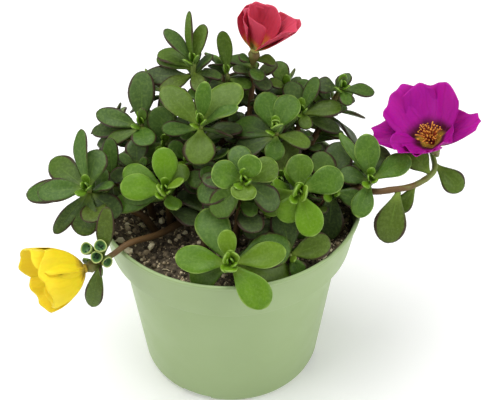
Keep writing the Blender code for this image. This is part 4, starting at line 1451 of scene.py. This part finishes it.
@dataclass
class Thicket:
    """Every solid's faces, searched for room for the small leaves that only the scene has.

    Attributes:
        bare_x: the right end of the bare soil at the front left, where no small leaf stands.
        bare_y: the back end of that bare soil.
        bare_top: the height up to which no small leaf stands there.
        tree: the solids' faces.
        corners: the solids' corners.
        faces: each solid's faces, by its name.
        taken: the tested points of the small leaves already set.
    """

    bare_x: float = 2.0
    bare_y: float = -2.0
    bare_top: float = SOIL_TOP + 26.0
    tree: BVHTree = field(init=False)
    corners: list[tuple[float, ...]] = field(init=False)
    faces: dict[str, list[tuple[int, ...]]] = field(init=False)
    taken: Vec = field(init=False)

    def __post_init__(self) -> None:
        """Sorts the faces of all the solids."""
        self.corners, self.faces = [], {}
        for name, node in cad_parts.items():
            start = len(self.corners)
            self.corners += [tuple(v.co / MM) for v in node.data.vertices]
            self.faces[name] = [tuple(start + i for i in f.vertices) for f in node.data.polygons]
        self.tree = self.sorted_without("")
        self.taken = np.zeros((0, 3))

    def sorted_without(self, name: str) -> BVHTree:
        """Sorts the faces of every solid but one.

        Args:
            name: the solid left out.

        Returns:
            The sorted faces.
        """
        faces = [face for other, own in self.faces.items() if other != name for face in own]
        return BVHTree.FromPolygons(self.corners, faces)

    def tested(self, spot: BladeSpot, start: float) -> Vec:
        """Points down the middle and both sides of a leaf.

        Args:
            spot: where the leaf is.
            start: where the first points lie, as a share of the length.

        Returns:
            The points.
        """
        u = np.linspace(start, 1.0, 5)
        centre, _ = spot.line(u)
        half = 0.48 * spot.width * np.sin(np.pi * np.minimum(u, 0.92))[:, None] ** 0.5
        return np.vstack((centre, centre + half * spot.side, centre - half * spot.side))

    def has_room(self, spot: BladeSpot) -> bool:
        """Checks one leaf against the solids and the small leaves already set, and notes it if it fits.

        Args:
            spot: where the leaf is.

        Returns:
            Whether it fits.
        """
        tests = self.tested(spot, 0.42)
        x, y, z = tests.T
        if np.any(np.hypot(x, y) > SMALL_REACH) or np.any(z < SMALL_LOWEST):
            return False
        if np.any((x < self.bare_x) & (y < self.bare_y) & (z < self.bare_top)):
            return False
        if any(self.tree.find_nearest(t.tolist())[3] < SMALL_ROOM for t in tests):
            return False
        between = np.linalg.norm(self.taken[:, None] - tests[None], axis=2)
        if between.size and np.min(between) < SMALL_SPACING:
            return False
        self.taken = np.vstack((self.taken, tests))
        return True


@dataclass
class LeafyStem:
    """One stem with its leaves, in place of the solid of the same name.

    Attributes:
        name: the solid's name.
        foot: where it leaves the soil.
        crown: the middle of its crown.
        facing: the way the crown looks.
        leafy: the length of stem that carries the crown's leaves.
        leaves: the crown's leaves, oldest first.
        order: its place among the stems, which turns its older leaves.
        vigour: how old the crown looks.
        thicket: where the room for small leaves is known.
        materials: the materials of leaves, stem and seed cups.
        stations: how many rings a leaf has.
        sides: how many points each of its rings has.
        small_stations: how many rings a small leaf has.
        small_sides: how many points each of its rings has.
        corners: the solid's corners, sorted for searching.
        rng: the seeded source of this stem's variety.
    """

    name: str
    foot: tuple[float, float]
    crown: tuple[float, float, float]
    facing: tuple[float, float, float]
    leafy: float
    leaves: Sequence[Leaf]
    order: int
    vigour: Vigour
    thicket: Thicket
    materials: Sequence[bpy.types.Material]
    stations: int = 15
    sides: int = 16
    small_stations: int = 8
    small_sides: int = 8
    corners: KDTree = field(init=False)
    rng: np.random.Generator = field(init=False)

    def __post_init__(self) -> None:
        """Sorts the solid's corners for searching."""
        points = np.array([v.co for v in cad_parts[self.name].data.vertices]) / MM
        self.corners = KDTree(len(points))
        for number, point in enumerate(points):
            self.corners.insert(point, number)
        self.corners.balance()
        self.rng = np.random.default_rng(100 + self.order)

    def path(self, step: float) -> Vec:
        """Points along the stem: up out of its hole, then on a smooth curve to the crown.

        Args:
            step: about how far apart they are.

        Returns:
            The points.
        """
        x, y = self.foot
        surface = np.array((x, y, soil_height(np.float64(x), np.float64(y)) + 0.8))
        crown = np.array(self.crown, float)
        before = crown - CROWN_RUN * unit(self.facing)
        vias = VIAS.get(self.name) or (tuple(0.5 * (surface + before) + (0, 0, 3)),)
        points = [surface, *vias, before, crown]
        count = 2 + int(path_length(points) / step)
        return np.vstack(((x, y, SOIL_TOP - ROOT_DEPTH + 1), smooth_path(points, count)))

    def coarse_corners(self, spot: BladeSpot) -> Vec:
        """The corners that a solid leaf of this size has, past its hidden neck.

        Args:
            spot: where the leaf is.

        Returns:
            The corners of its outer rings and its tip.
        """
        stations = np.array(SMALL_STATIONS if spot.length <= SMALL_LEAF else LEAF_STATIONS)
        centre, normal = spot.line(np.append(stations, 1.0))
        half = leaf_half_width(stations)[:, None] * spot.width / 2
        thick = (LEAF_THICK * (0.72 + 0.28 * np.sin(np.pi * stations)) / 2)[:, None]
        middle, normal = centre[:-1], normal[:-1]
        raised, out = middle + thick * normal, half * spot.side
        rings = (raised - out, raised + out, middle - thick * normal)
        return np.vstack([ring[1:] for ring in rings] + [centre[-1:]])

    def settled(self, facing: Sequence[float], root: Vec, leaf: Leaf) -> BladeSpot | None:
        """Finds which of the small turns the solid leaf took.

        Args:
            facing: the way its crown looks.
            root: where it meets the stem.
            leaf: its turn, opening, length, width and roll.

        Returns:
            Where the leaf is, or None where no corners of the solid agree with such a leaf.
        """
        turn, opening, length, width, *roll = leaf
        best, chosen = 0.0, None
        for share in NUDGE_SHARES:
            for more_turn, more_open in NUDGES:
                directions = leaf_directions(facing, turn + more_turn, opening + more_open, *roll)
                spot = BladeSpot(root, *directions, length * share, width * (0.4 + 0.6 * share))
                met = np.mean([self.corners.find(p)[2] < 0.05 for p in self.coarse_corners(spot)])
                if met > best:
                    best, chosen = met, spot
                if met > 0.6:
                    return chosen
        return chosen if best > 0.3 else None

    def blade(self, spot: BladeSpot, age: float, small: bool = False) -> Surface:
        """A fleshy leaf: ellipse-like rings along an arc.

        Across the leaf, the height is the thickness times the cosine of the ring's angle to the power
        0.75, plus a bowl that grows with the square of the place across and a rounded fold along the
        middle, less a narrow groove. Seeded numbers set the bowl, the fold, how the rim waves, how much
        wider one side is than the other, how the middle line strays, and the twist.

        Args:
            spot: where the leaf is.
            age: 0 when new, 1 when old.
            small: whether it is one of the hundreds of small leaves, which have fewer faces.

        Returns:
            The leaf's surface.
        """
        side, length, width = spot.side, spot.length, spot.width
        stations, sides = (self.small_stations, self.small_sides) if small else (self.stations, self.sides)
        u = 1 - (1 - np.linspace(0.0, 0.985, stations)) ** 1.35
        angle = around(sides)
        centre, normal = spot.line(np.append(u, 1.0))
        wave = 1 + 0.04 * np.sin(6.0 * u + self.rng.uniform(0, 6.3)) * np.sin(np.pi * u)
        half = leaf_half_width(u) * width / 2 * wave
        bulk = np.sin(np.pi * np.minimum(u * 1.15, 1))[:, None]
        bowl = self.rng.uniform(0.15, 0.75) * min(width / 11, 1.0)
        lean = self.rng.uniform(-0.08, 0.08)
        stray = self.rng.uniform(-0.025, 0.025) * length * u[:, None] ** 2
        dip = self.rng.uniform(-0.015, 0.02) * length * u[:, None] ** 3
        fold = self.rng.uniform(0.05, 0.30) * half[:, None] * bulk
        thick = LEAF_THICK / 2 * (0.62 + 0.3 * np.sin(np.pi * u) ** 0.7) * (0.35 + 0.65 * np.sqrt(1 - u**6))
        thick = thick * min(1.0, 0.22 + width / 7)
        across = np.sin(angle)[None] + 0 * u[:, None]
        lift = np.sign(np.cos(angle)) * np.abs(np.cos(angle)) ** 0.75
        furrow = np.sin(np.pi * np.minimum(u * 1.1, 1))[:, None] ** 0.6
        groove = 0.34 * np.exp(-((across / 0.16) ** 2)) * furrow
        rise = thick[:, None] * lift[None] + bowl * bulk * across**2 - groove * (np.cos(angle) > 0)
        rise = rise + fold * (np.sqrt(across**2 + 0.03) - 0.17)
        shake = np.sin(7.0 * u[:, None] + self.rng.uniform(0, 6.3) + across)
        ruffle = 0.30 * shake * np.abs(across) ** 3 * bulk
        twist = math.radians(self.rng.uniform(-5, 5)) * u[:, None]
        out = half[:, None] * across * (1 + lean * np.sign(across) * bulk)
        high = rise + ruffle + out * np.tan(twist) + dip
        out = out + stray
        rings = centre[:-1, None] + out[..., None] * side + high[..., None] * normal[:-1, None]
        marks = np.zeros((*rings.shape[:2], 4))
        marks[..., 0] = u[:, None]
        marks[..., 1] = 0.5 + 0.5 * across
        marks[..., 2] = age
        own = self.rng.uniform(0.9 if self.vigour is Vigour.EDGED else 0.0, 1)
        marks[..., 3] = 0.6 * (np.cos(angle)[None] > -0.05) + 0.4 * own
        tip = centre[-1] + (0.3 * thick[-1] + float(dip[-1, 0])) * normal[-1] + float(stray[-1, 0]) * side
        return skin(rings, marks, Paint.LEAF.value, centre[0], tip)

    def stem_surface(self) -> Surface:
        """Returns the stem: a tapering tube that swells a little at each joint."""
        path = self.path(1.6)
        share = np.linspace(0, 1, len(path))
        run = share * path_length(path)
        radii = STEM_FOOT_RADIUS + (STEM_TIP_RADIUS - STEM_FOOT_RADIUS) * share
        radii = radii * (1 + 0.10 * np.maximum(0, np.sin(2 * np.pi * run / OLD_LEAF_STEP)) ** 6)
        marks = np.zeros((len(path), 4))
        marks[:, 0] = share
        marks[:, 2] = self.name in GREEN_STEMS
        tip = path[-1] + 1.2 * unit(path[-1] - path[-2])
        return tube(path, radii, 12, marks, Paint.STEM.value, tip)

    def undergrowth(self, path: Vec, run: Vec) -> list[Surface]:
        """Small leaves along the stem below its crown, wherever the solids leave room for one.

        Args:
            path: points along the stem.
            run: how far along it each point is.

        Returns:
            Their surfaces.
        """
        made = []
        top = run[-1] - BARE_TIPS.get(self.name, BARE_TIP)
        for k, at in enumerate(np.arange(ROOT_DEPTH + 5.0, top, SMALL_STEP)):
            root = np.array([np.interp(at, run, path[:, i]) for i in range(3)])
            for size, turn, opening in itertools.product(SMALL_LENGTHS, SMALL_TURNS, SMALL_OPENINGS):
                directions = leaf_directions((0, 0, 1), turn + k * GOLDEN_TURN, opening)
                spot = BladeSpot(root, *directions, size, SMALL_SHAPE * size)
                if self.thicket.has_room(spot):
                    age = self.vigour.value + self.rng.uniform(0.0, 0.3)
                    made.append(self.blade(spot, min(age, 1.0), small=True))
                    break
        return made

    def tuft(self, tip: Vec, count: int = 5) -> list[Surface]:
        """The tightly packed new leaves in the middle of the crown.

        Args:
            tip: the end of the stem.
            count: how many there are.

        Returns:
            A surface for each that is clear of the other solids, the inner ones smaller and more upright.
        """
        made = []
        others = self.thicket.sorted_without(self.name)
        for k in range(count):
            share = (k + 0.5) / count
            directions = leaf_directions(self.facing, 40 + k * GOLDEN_TURN, 12 + 46 * share)
            root = tip - (1.2 * share) * unit(self.facing)
            spot = BladeSpot(root, *directions, 4.4 + 4.0 * share, 2.5 + 2.0 * share)
            tests = self.thicket.tested(spot, 0.1)
            if all(others.find_nearest(t.tolist())[3] > TUFT_ROOM for t in tests):
                made.append(self.blade(spot, 0.3 * self.vigour.value, small=True))
        return made

    def flower_cup(self, axis: Vec) -> Surface:
        """The green cup under a flower: a tube from the stem that widens to the petals.

        Args:
            axis: the flower's axis.

        Returns:
            The cup's surface.
        """
        base = np.array(self.crown, float)
        t = np.linspace(0, 1, 9)
        path = base + axis * (-3.0 + (CALYX_HEIGHT + 3.0) * t)[:, None]
        stop = (0.0, 0.4, 0.75, 1.0)
        size = (STEM_TIP_RADIUS * 0.8, CALYX_RADIUS * 0.7, CALYX_RADIUS, CALYX_RADIUS * 0.75)
        return tube(path, np.interp(t, stop, size), 20, marked(9, 0.9), Paint.STEM.value)

    def build(self, extra: Sequence[Surface] = ()) -> bpy.types.Object:
        """Builds the stem and its leaves.

        Args:
            extra: other surfaces of the same piece, such as seed cups.

        Returns:
            The finished piece.
        """
        fine = self.path(1.0)
        run = np.append(0, np.cumsum(np.linalg.norm(np.diff(fine, axis=0), axis=1)))
        plan = []
        for number, leaf in enumerate(self.leaves):
            share = number / max(len(self.leaves) - 1, 1)
            age = self.vigour.value + 0.45 * (1 - share) ** 1.5
            plan.append((self.leafy * (1 - share), self.facing, leaf, age))
        if self.name not in BARE_STEMS:
            count = int((run[-1] - ROOT_DEPTH - self.leafy - OLD_LEAF_CLEAR) / OLD_LEAF_STEP)
            for k in range(max(count, 0)):
                turn = self.order * 77 + k * GOLDEN_TURN
                leaf = (turn, OLD_LEAF_OPENING, OLD_LEAF_LENGTH, OLD_LEAF_WIDTH)
                plan.append((self.leafy + OLD_LEAF_STEP * (k + 0.8), (0, 0, 1), leaf, 0.92))
        surfaces = [self.stem_surface()]
        if all(self.name != bearer for bearer, _, _ in FLOWERS.values()):
            surfaces += self.tuft(fine[-1])
        surfaces += self.undergrowth(fine, run)
        missing = 0
        for back, facing, leaf, age in plan:
            root = np.array([np.interp(run[-1] - back, run, fine[:, k]) for k in range(3)])
            found = self.settled(facing, root, leaf)
            if found is None:
                missing += 1
                continue
            age = float(np.clip(age + self.rng.uniform(-0.06, 0.06), 0, 1))
            surfaces.append(self.blade(found, age))
        obj = Surface.joined((*surfaces, *extra)).to_object(self.name + "_foliage", self.materials)
        place(obj, "foliage", [self.name])
        log.info("%s: %d leaves, %d more not found in the solid", self.name, len(surfaces) - 1, missing)
        return obj


@dataclass
class Bloom:
    """A flower's petals, in place of the solid of the same name.

    Attributes:
        name: the solid's name.
        stem: the stem that carries it.
        axis: the way it looks.
        petals: each petal's turn, opening, length, width and curl.
        finish: the petals' finish.
        crinkle: height of the small waves near the rim, in millimetres.
        ragged: how far the rim wanders in and out, as a share of the length.
        point: how far the middle of the rim juts out, as a share of the length.
    """

    name: str
    stem: str
    axis: Vec
    petals: Sequence[Leaf]
    finish: PetalFinish
    crinkle: float = 0.5
    ragged: float = 0.014
    point: float = 0.0
    rows: int = 26
    cols: int = 25

    def petal(self, spot: BladeSpot, curl: float, number: int) -> Surface:
        """A broad thin blade on an arc.

        The half width is a sine of the place along. The outer edge has a notch in its middle and
        falls away to the corners with the square. The blade lifts with the square of the place
        across and rolls up at the sides with the sixth power, waves by a slow sine, and crinkles by
        quick ones near its rim. Every other petal stands a little higher.

        Args:
            spot: where it is.
            curl: degrees that it curls inwards.
            number: its number, which sets its own waves.

        Returns:
            The petal's surface.
        """
        along, width = spot.along, spot.width
        u = np.linspace(0, 1, self.rows)[:, None] + np.zeros(self.cols)
        v = np.linspace(-1, 1, self.cols)[None] + np.zeros((self.rows, 1))
        phase = 7.0 * along[0] + 5.0 * along[1] + 3.0 * along[2]
        nibble = self.ragged * (np.sin(5 * v + phase) + 0.45 * np.sin(11 * v - phase))
        reach = 1 - PETAL_NOTCH * np.exp(-((v / 0.3) ** 2)) - PETAL_ROUND * v**2 + nibble * u**4
        reach = reach + self.point * np.exp(-((v / 0.22) ** 2)) * u**3
        centre, normal = arc(spot.root, along, spot.upper, spot.length, math.radians(curl), u * reach)
        half = 0.5 * width * (0.2 + 0.8 * np.sin(np.pi / 2 * u**0.8))
        slow = 0.05 * width * np.sin(5 * v + phase) * u**2
        quick = np.sin(8 * v + 2 * phase) + 0.5 * np.sin(7 * u + 13 * v + phase)
        roll = 0.8 * v**6 * u + 0.7 * (number % 2) * u
        lift = 0.16 * width * v**2 * u + slow + self.crinkle * quick * u**2 * 0.5 + roll
        middle = centre + spot.side * (half * v)[..., None] + normal * lift[..., None]
        face = normal * (PETAL_THICK * (0.75 - 0.45 * u**2) / 2)[..., None]
        marks = np.stack((u, 0.5 + 0.5 * v, 0 * u, np.full(u.shape, (number * 0.37) % 1.0)), axis=-1)
        return plate(middle + face, middle - face, marks)

    def build(self) -> bpy.types.Object:
        """Returns the finished flower."""
        seat = np.array(STEMS[self.stem][1], float) + self.axis * (CALYX_HEIGHT + GAP)
        t = np.linspace(0, 1, 5)
        radii = np.interp(t, (0, 0.5, 1), (1.9, 2.1, 1.3))
        surfaces = [tube(seat + self.axis * 2.4 * t[:, None], radii, 20, marked(5), 0)]
        for number, (turn, opening, length, width, curl) in enumerate(self.petals):
            directions = leaf_directions(self.axis, turn, opening)
            out = unit(directions[0] - self.axis * (directions[0] @ self.axis))
            root = seat + self.axis * 1.3 + out * 0.6
            surfaces.append(self.petal(BladeSpot(root, *directions, length, width), curl, number))
        obj = Surface.joined(surfaces).to_object(self.name + "_petals", [self.finish.build()])
        place(obj, self.finish.name, [self.name])
        return obj


@dataclass
class StamenBrush:
    """The brush in the open flower: thin threads with dusty ends round a few stigma lobes."""

    stem: str
    axis: Vec
    threads: int = 64
    lobes: int = 6
    seed: int = 23

    def build(self) -> bpy.types.Object:
        """Returns the finished brush, in place of its solid."""
        rng = np.random.default_rng(self.seed)
        seat = np.array(STEMS[self.stem][1], float) + self.axis * (CALYX_HEIGHT + 2.4 + 2 * GAP)
        t = np.linspace(0, 1, 5)
        dome = tube(seat + self.axis * 1.6 * t[:, None], 1.5 * np.sqrt(1 - 0.8 * t**2), 16, marked(5), 0)
        surfaces, ends, sizes = [dome], [], []
        for number in range(self.threads):
            share = math.sqrt((number + 0.5) / self.threads)
            along, _, upper = leaf_directions(self.axis, number * GOLDEN_TURN, (STAMEN_SPREAD + 14) * share)
            length = STAMEN_LENGTH * rng.uniform(0.72, 1.08)
            s = np.linspace(0, 1, 6)
            path = seat + self.axis * 0.9 + (length * s)[:, None] * along + (0.9 * s**2)[:, None] * upper
            surfaces.append(tube(path, np.linspace(0.14, 0.10, 6), 5, marked(6, 0.72 * s), 0))
            ends.append(path[-1])
            sizes.append(rng.uniform(0.38, 0.52))
        surfaces.append(lumps(np.array(ends), np.array(sizes), rng, marked(len(ends), 1.0), 0.9))
        for number in range(self.lobes):
            along, _, upper = leaf_directions(self.axis, number * 360 / self.lobes, 26)
            s = np.linspace(0, 1, 8)
            path = seat + self.axis * 1.0 + (8.4 * s)[:, None] * along + (2.2 * s**3)[:, None] * -upper
            surfaces.append(tube(path, np.linspace(0.22, 0.3, 8), 6, marked(8, 0.55 + 0.4 * s), 0))
        obj = Surface.joined(surfaces).to_object("stamen_brush", [AntherFinish().build()])
        place(obj, "stamen", ["stamens_magenta"])
        return obj


@dataclass
class SeedCups:
    """Open seed cups beside the yellow flower, on one stalk up from the tip of its stem."""

    tip: Vec
    sides: int = 22

    def surfaces(self) -> list[Surface]:
        """Makes the stalk and the cups.

        Returns:
            A tube for the stalk, then a surface for each cup, out from its foot, over its rim and
            down to its floor, and a few round seeds on that floor.
        """
        fork = np.array(CUP_STALK)
        path = smooth_path([self.tip - (0, 0, 0.5), 0.5 * (self.tip + fork) + (0.2, 0, 0), fork], 8)
        made = [tube(path, np.linspace(1.3, 1.2, 8), 12, marked(8, 0.9), Paint.STEM.value)]
        rng = np.random.default_rng(31)
        for mouth, radius in SEED_CUPS:
            mouth = np.array(mouth)
            axis = unit(mouth - fork + CUP_DEPTH * unit(VIEWER))
            shape = np.array(CUP_PROFILE)
            _, across, back = crown_axes(axis)
            turns = around(self.sides)
            uneven = 1 + 0.04 * np.sin(3 * turns + radius * 9)
            ring = (np.cos(turns) * uneven)[:, None] * across + (np.sin(turns) * uneven)[:, None] * back
            reach = shape[:, :1, None] * CUP_SLIMNESS * radius
            rings = mouth + reach * ring[None] + shape[:, 1:, None] * axis
            marks = np.zeros((*rings.shape[:2], 4))
            marks[..., 0] = np.linspace(0, 1, len(shape))[:, None]
            low, floor = mouth - axis * (CUP_DEPTH + 0.5), mouth - axis * 2.6
            made.append(skin(rings, marks, Paint.CUP.value, low, floor))
            neck = smooth_path([fork, 0.5 * (fork + low), mouth - axis * (CUP_DEPTH - 1.5)], 6)
            marks = np.full((6, 4), 0.9)
            made.append(tube(neck, np.linspace(0.9, radius * 0.4, 6), 10, marks, Paint.STEM.value))
            spots = rng.uniform(-0.42, 0.42, (7, 2)) * radius
            seeds = mouth - axis * 2.0 + spots[:, :1] * across + spots[:, 1:] * back
            tags = np.tile((1.0, 0.0, 0.0, 1.0), (7, 1))
            grains = lumps(seeds, np.full(7, 0.5), rng, tags, 0.9)
            grains.paints = (grains.paints[0], np.full(len(grains.tris), Paint.CUP.value))
            made.append(grains)
        return made


@dataclass
class Studio:
    """A pale floor, square soft lights, and the camera as fitted to the pot in the photo.

    Attributes:
        place: where the camera is.
        forward: the way it looks.
        up: the way up in its picture.
        lens: its focal length.
        floor_half: half the side of the floor.
    """

    place: tuple[float, float, float] = (0.0, -390.4, 428.5)
    forward: tuple[float, float, float] = (0.0177, 0.7566, -0.6537)
    up: tuple[float, float, float] = (0.0126, 0.6536, 0.7568)
    lens: float = 81.66
    floor_half: float = 3000.0

    def floor(self) -> None:
        """Lays the floor: one flat sheet with a faint grain."""
        edge = np.linspace(-self.floor_half, self.floor_half, 5)
        x, y = np.meshgrid(edge, edge)
        points = np.stack((x.ravel(), y.ravel(), np.full(x.size, -0.05)), axis=1)
        cell = np.arange(25).reshape(5, 5)
        corners = (cell[:-1, :-1], cell[:-1, 1:], cell[1:, 1:], cell[1:, :-1])
        quads = np.stack(corners, axis=-1).reshape(-1, 4)
        none = np.zeros((0, 3), int)
        sheet = Surface(points, quads, none, np.zeros((25, 4)), (np.zeros(16, int), np.zeros(0, int)))
        s = Shader("studio_floor")
        colour = s.mix(s.span(s.noise(9.0), 0.3, 0.7, 0.0, 0.3), (0.93, 0.93, 0.93), (0.91, 0.91, 0.90))
        finish = s.finish(colour, 0.9, None, Specular_IOR_Level=0.1, Emission_Strength=FLOOR_GLOW)
        sheet.to_object("studio_floor", [finish])

    def stand(self, name: str, data: bpy.types.ID, at: Rgb, back: Vec, up: Rgb) -> bpy.types.Object:
        """Sets up a light or a camera.

        Args:
            name: its name.
            data: the light or the camera.
            at: its place in millimetres.
            back: the way away from what it looks at.
            up: about the way up in what it sees.

        Returns:
            The object.
        """
        obj = bpy.data.objects.new(name, data)
        side = unit(np.cross(up, back))
        turn = Matrix(np.stack((side, np.cross(back, side), back), axis=1).tolist())
        obj.matrix_world = Matrix.Translation(tuple(c * MM for c in at)) @ turn.to_4x4()
        bpy.context.scene.collection.objects.link(obj)
        return obj

    def build(self) -> None:
        """Builds the whole studio."""
        self.floor()
        for name, at, power in LIGHTS:
            lamp = bpy.data.lights.new(name, "AREA")
            lamp.size = LIGHT_SIDE
            lamp.energy = power
            self.stand(name, lamp, at, unit(np.array(at, float) - LIGHT_TARGET), (0.02, 0.01, 1.0))
        world = bpy.data.worlds.new("studio_air")
        world.use_nodes = True
        world.node_tree.nodes["Background"].inputs[0].default_value = (1.0, 1.0, 1.0, 1.0)
        world.node_tree.nodes["Background"].inputs[1].default_value = AIR_STRENGTH
        bpy.context.scene.world = world
        bpy.context.scene.view_settings.view_transform = "Standard"
        lens = bpy.data.cameras.new("photo_camera")
        lens.lens = self.lens
        lens.sensor_width = 36.0
        camera = self.stand("photo_camera", lens, self.place, -unit(self.forward), self.up)
        bpy.context.scene.camera = camera


def all_stems() -> dict[str, tuple]:
    """Returns every stem by name, with the back ones' leaves laid out by the golden angle."""
    stems = dict(STEMS)
    for name, (foot, crown, count, first) in BACK_STEMS.items():
        away = unit((crown[0], crown[1], 60.0))
        leaves = []
        for k in range(count):
            age = 1 - k / (count - 1)
            turn = (first + k * GOLDEN_TURN) % 360
            leaves.append((turn, 30 + 62 * age, BACK_LEAF_LENGTH * (0.42 + 0.58 * age),
                           BACK_LEAF_WIDTH * (0.45 + 0.55 * age)))
        stems[name] = (foot, crown, tuple(away), 7, tuple(leaves))
    return stems


def main() -> None:
    """Builds and reports each sub-assembly."""
    logging.basicConfig(level=logging.INFO, format="%(name)s %(message)s")
    foliage = [LeafFinish().build(), StemFinish().build(), CupFinish().build()]
    NurseryPot().build()
    RootBall().build()
    cups = SeedCups(np.array(STEMS["stem_yellow"][1], float)).surfaces()
    thicket = Thicket()
    for order, (name, (foot, crown, facing, leafy, leaves)) in enumerate(all_stems().items()):
        vigour = VIGOURS.get(name, Vigour.SHADED)
        stem = LeafyStem(name, foot, crown, facing, leafy, leaves, order, vigour, thicket, foliage)
        extra = [stem.flower_cup(unit(axis)) for bearer, axis, _ in FLOWERS.values() if bearer == name]
        stem.build(extra + (cups if name == "stem_yellow" else []))
    for name, (stem_name, axis, petals) in FLOWERS.items():
        Bloom(name, stem_name, unit(axis), petals, PETAL_FINISHES[name], *RUFFLES[name]).build()
    StamenBrush("stem_magenta", unit(FLOWERS["bloom_magenta"][1])).build()
    Studio().build()


if __name__ == "__main__":
    main()
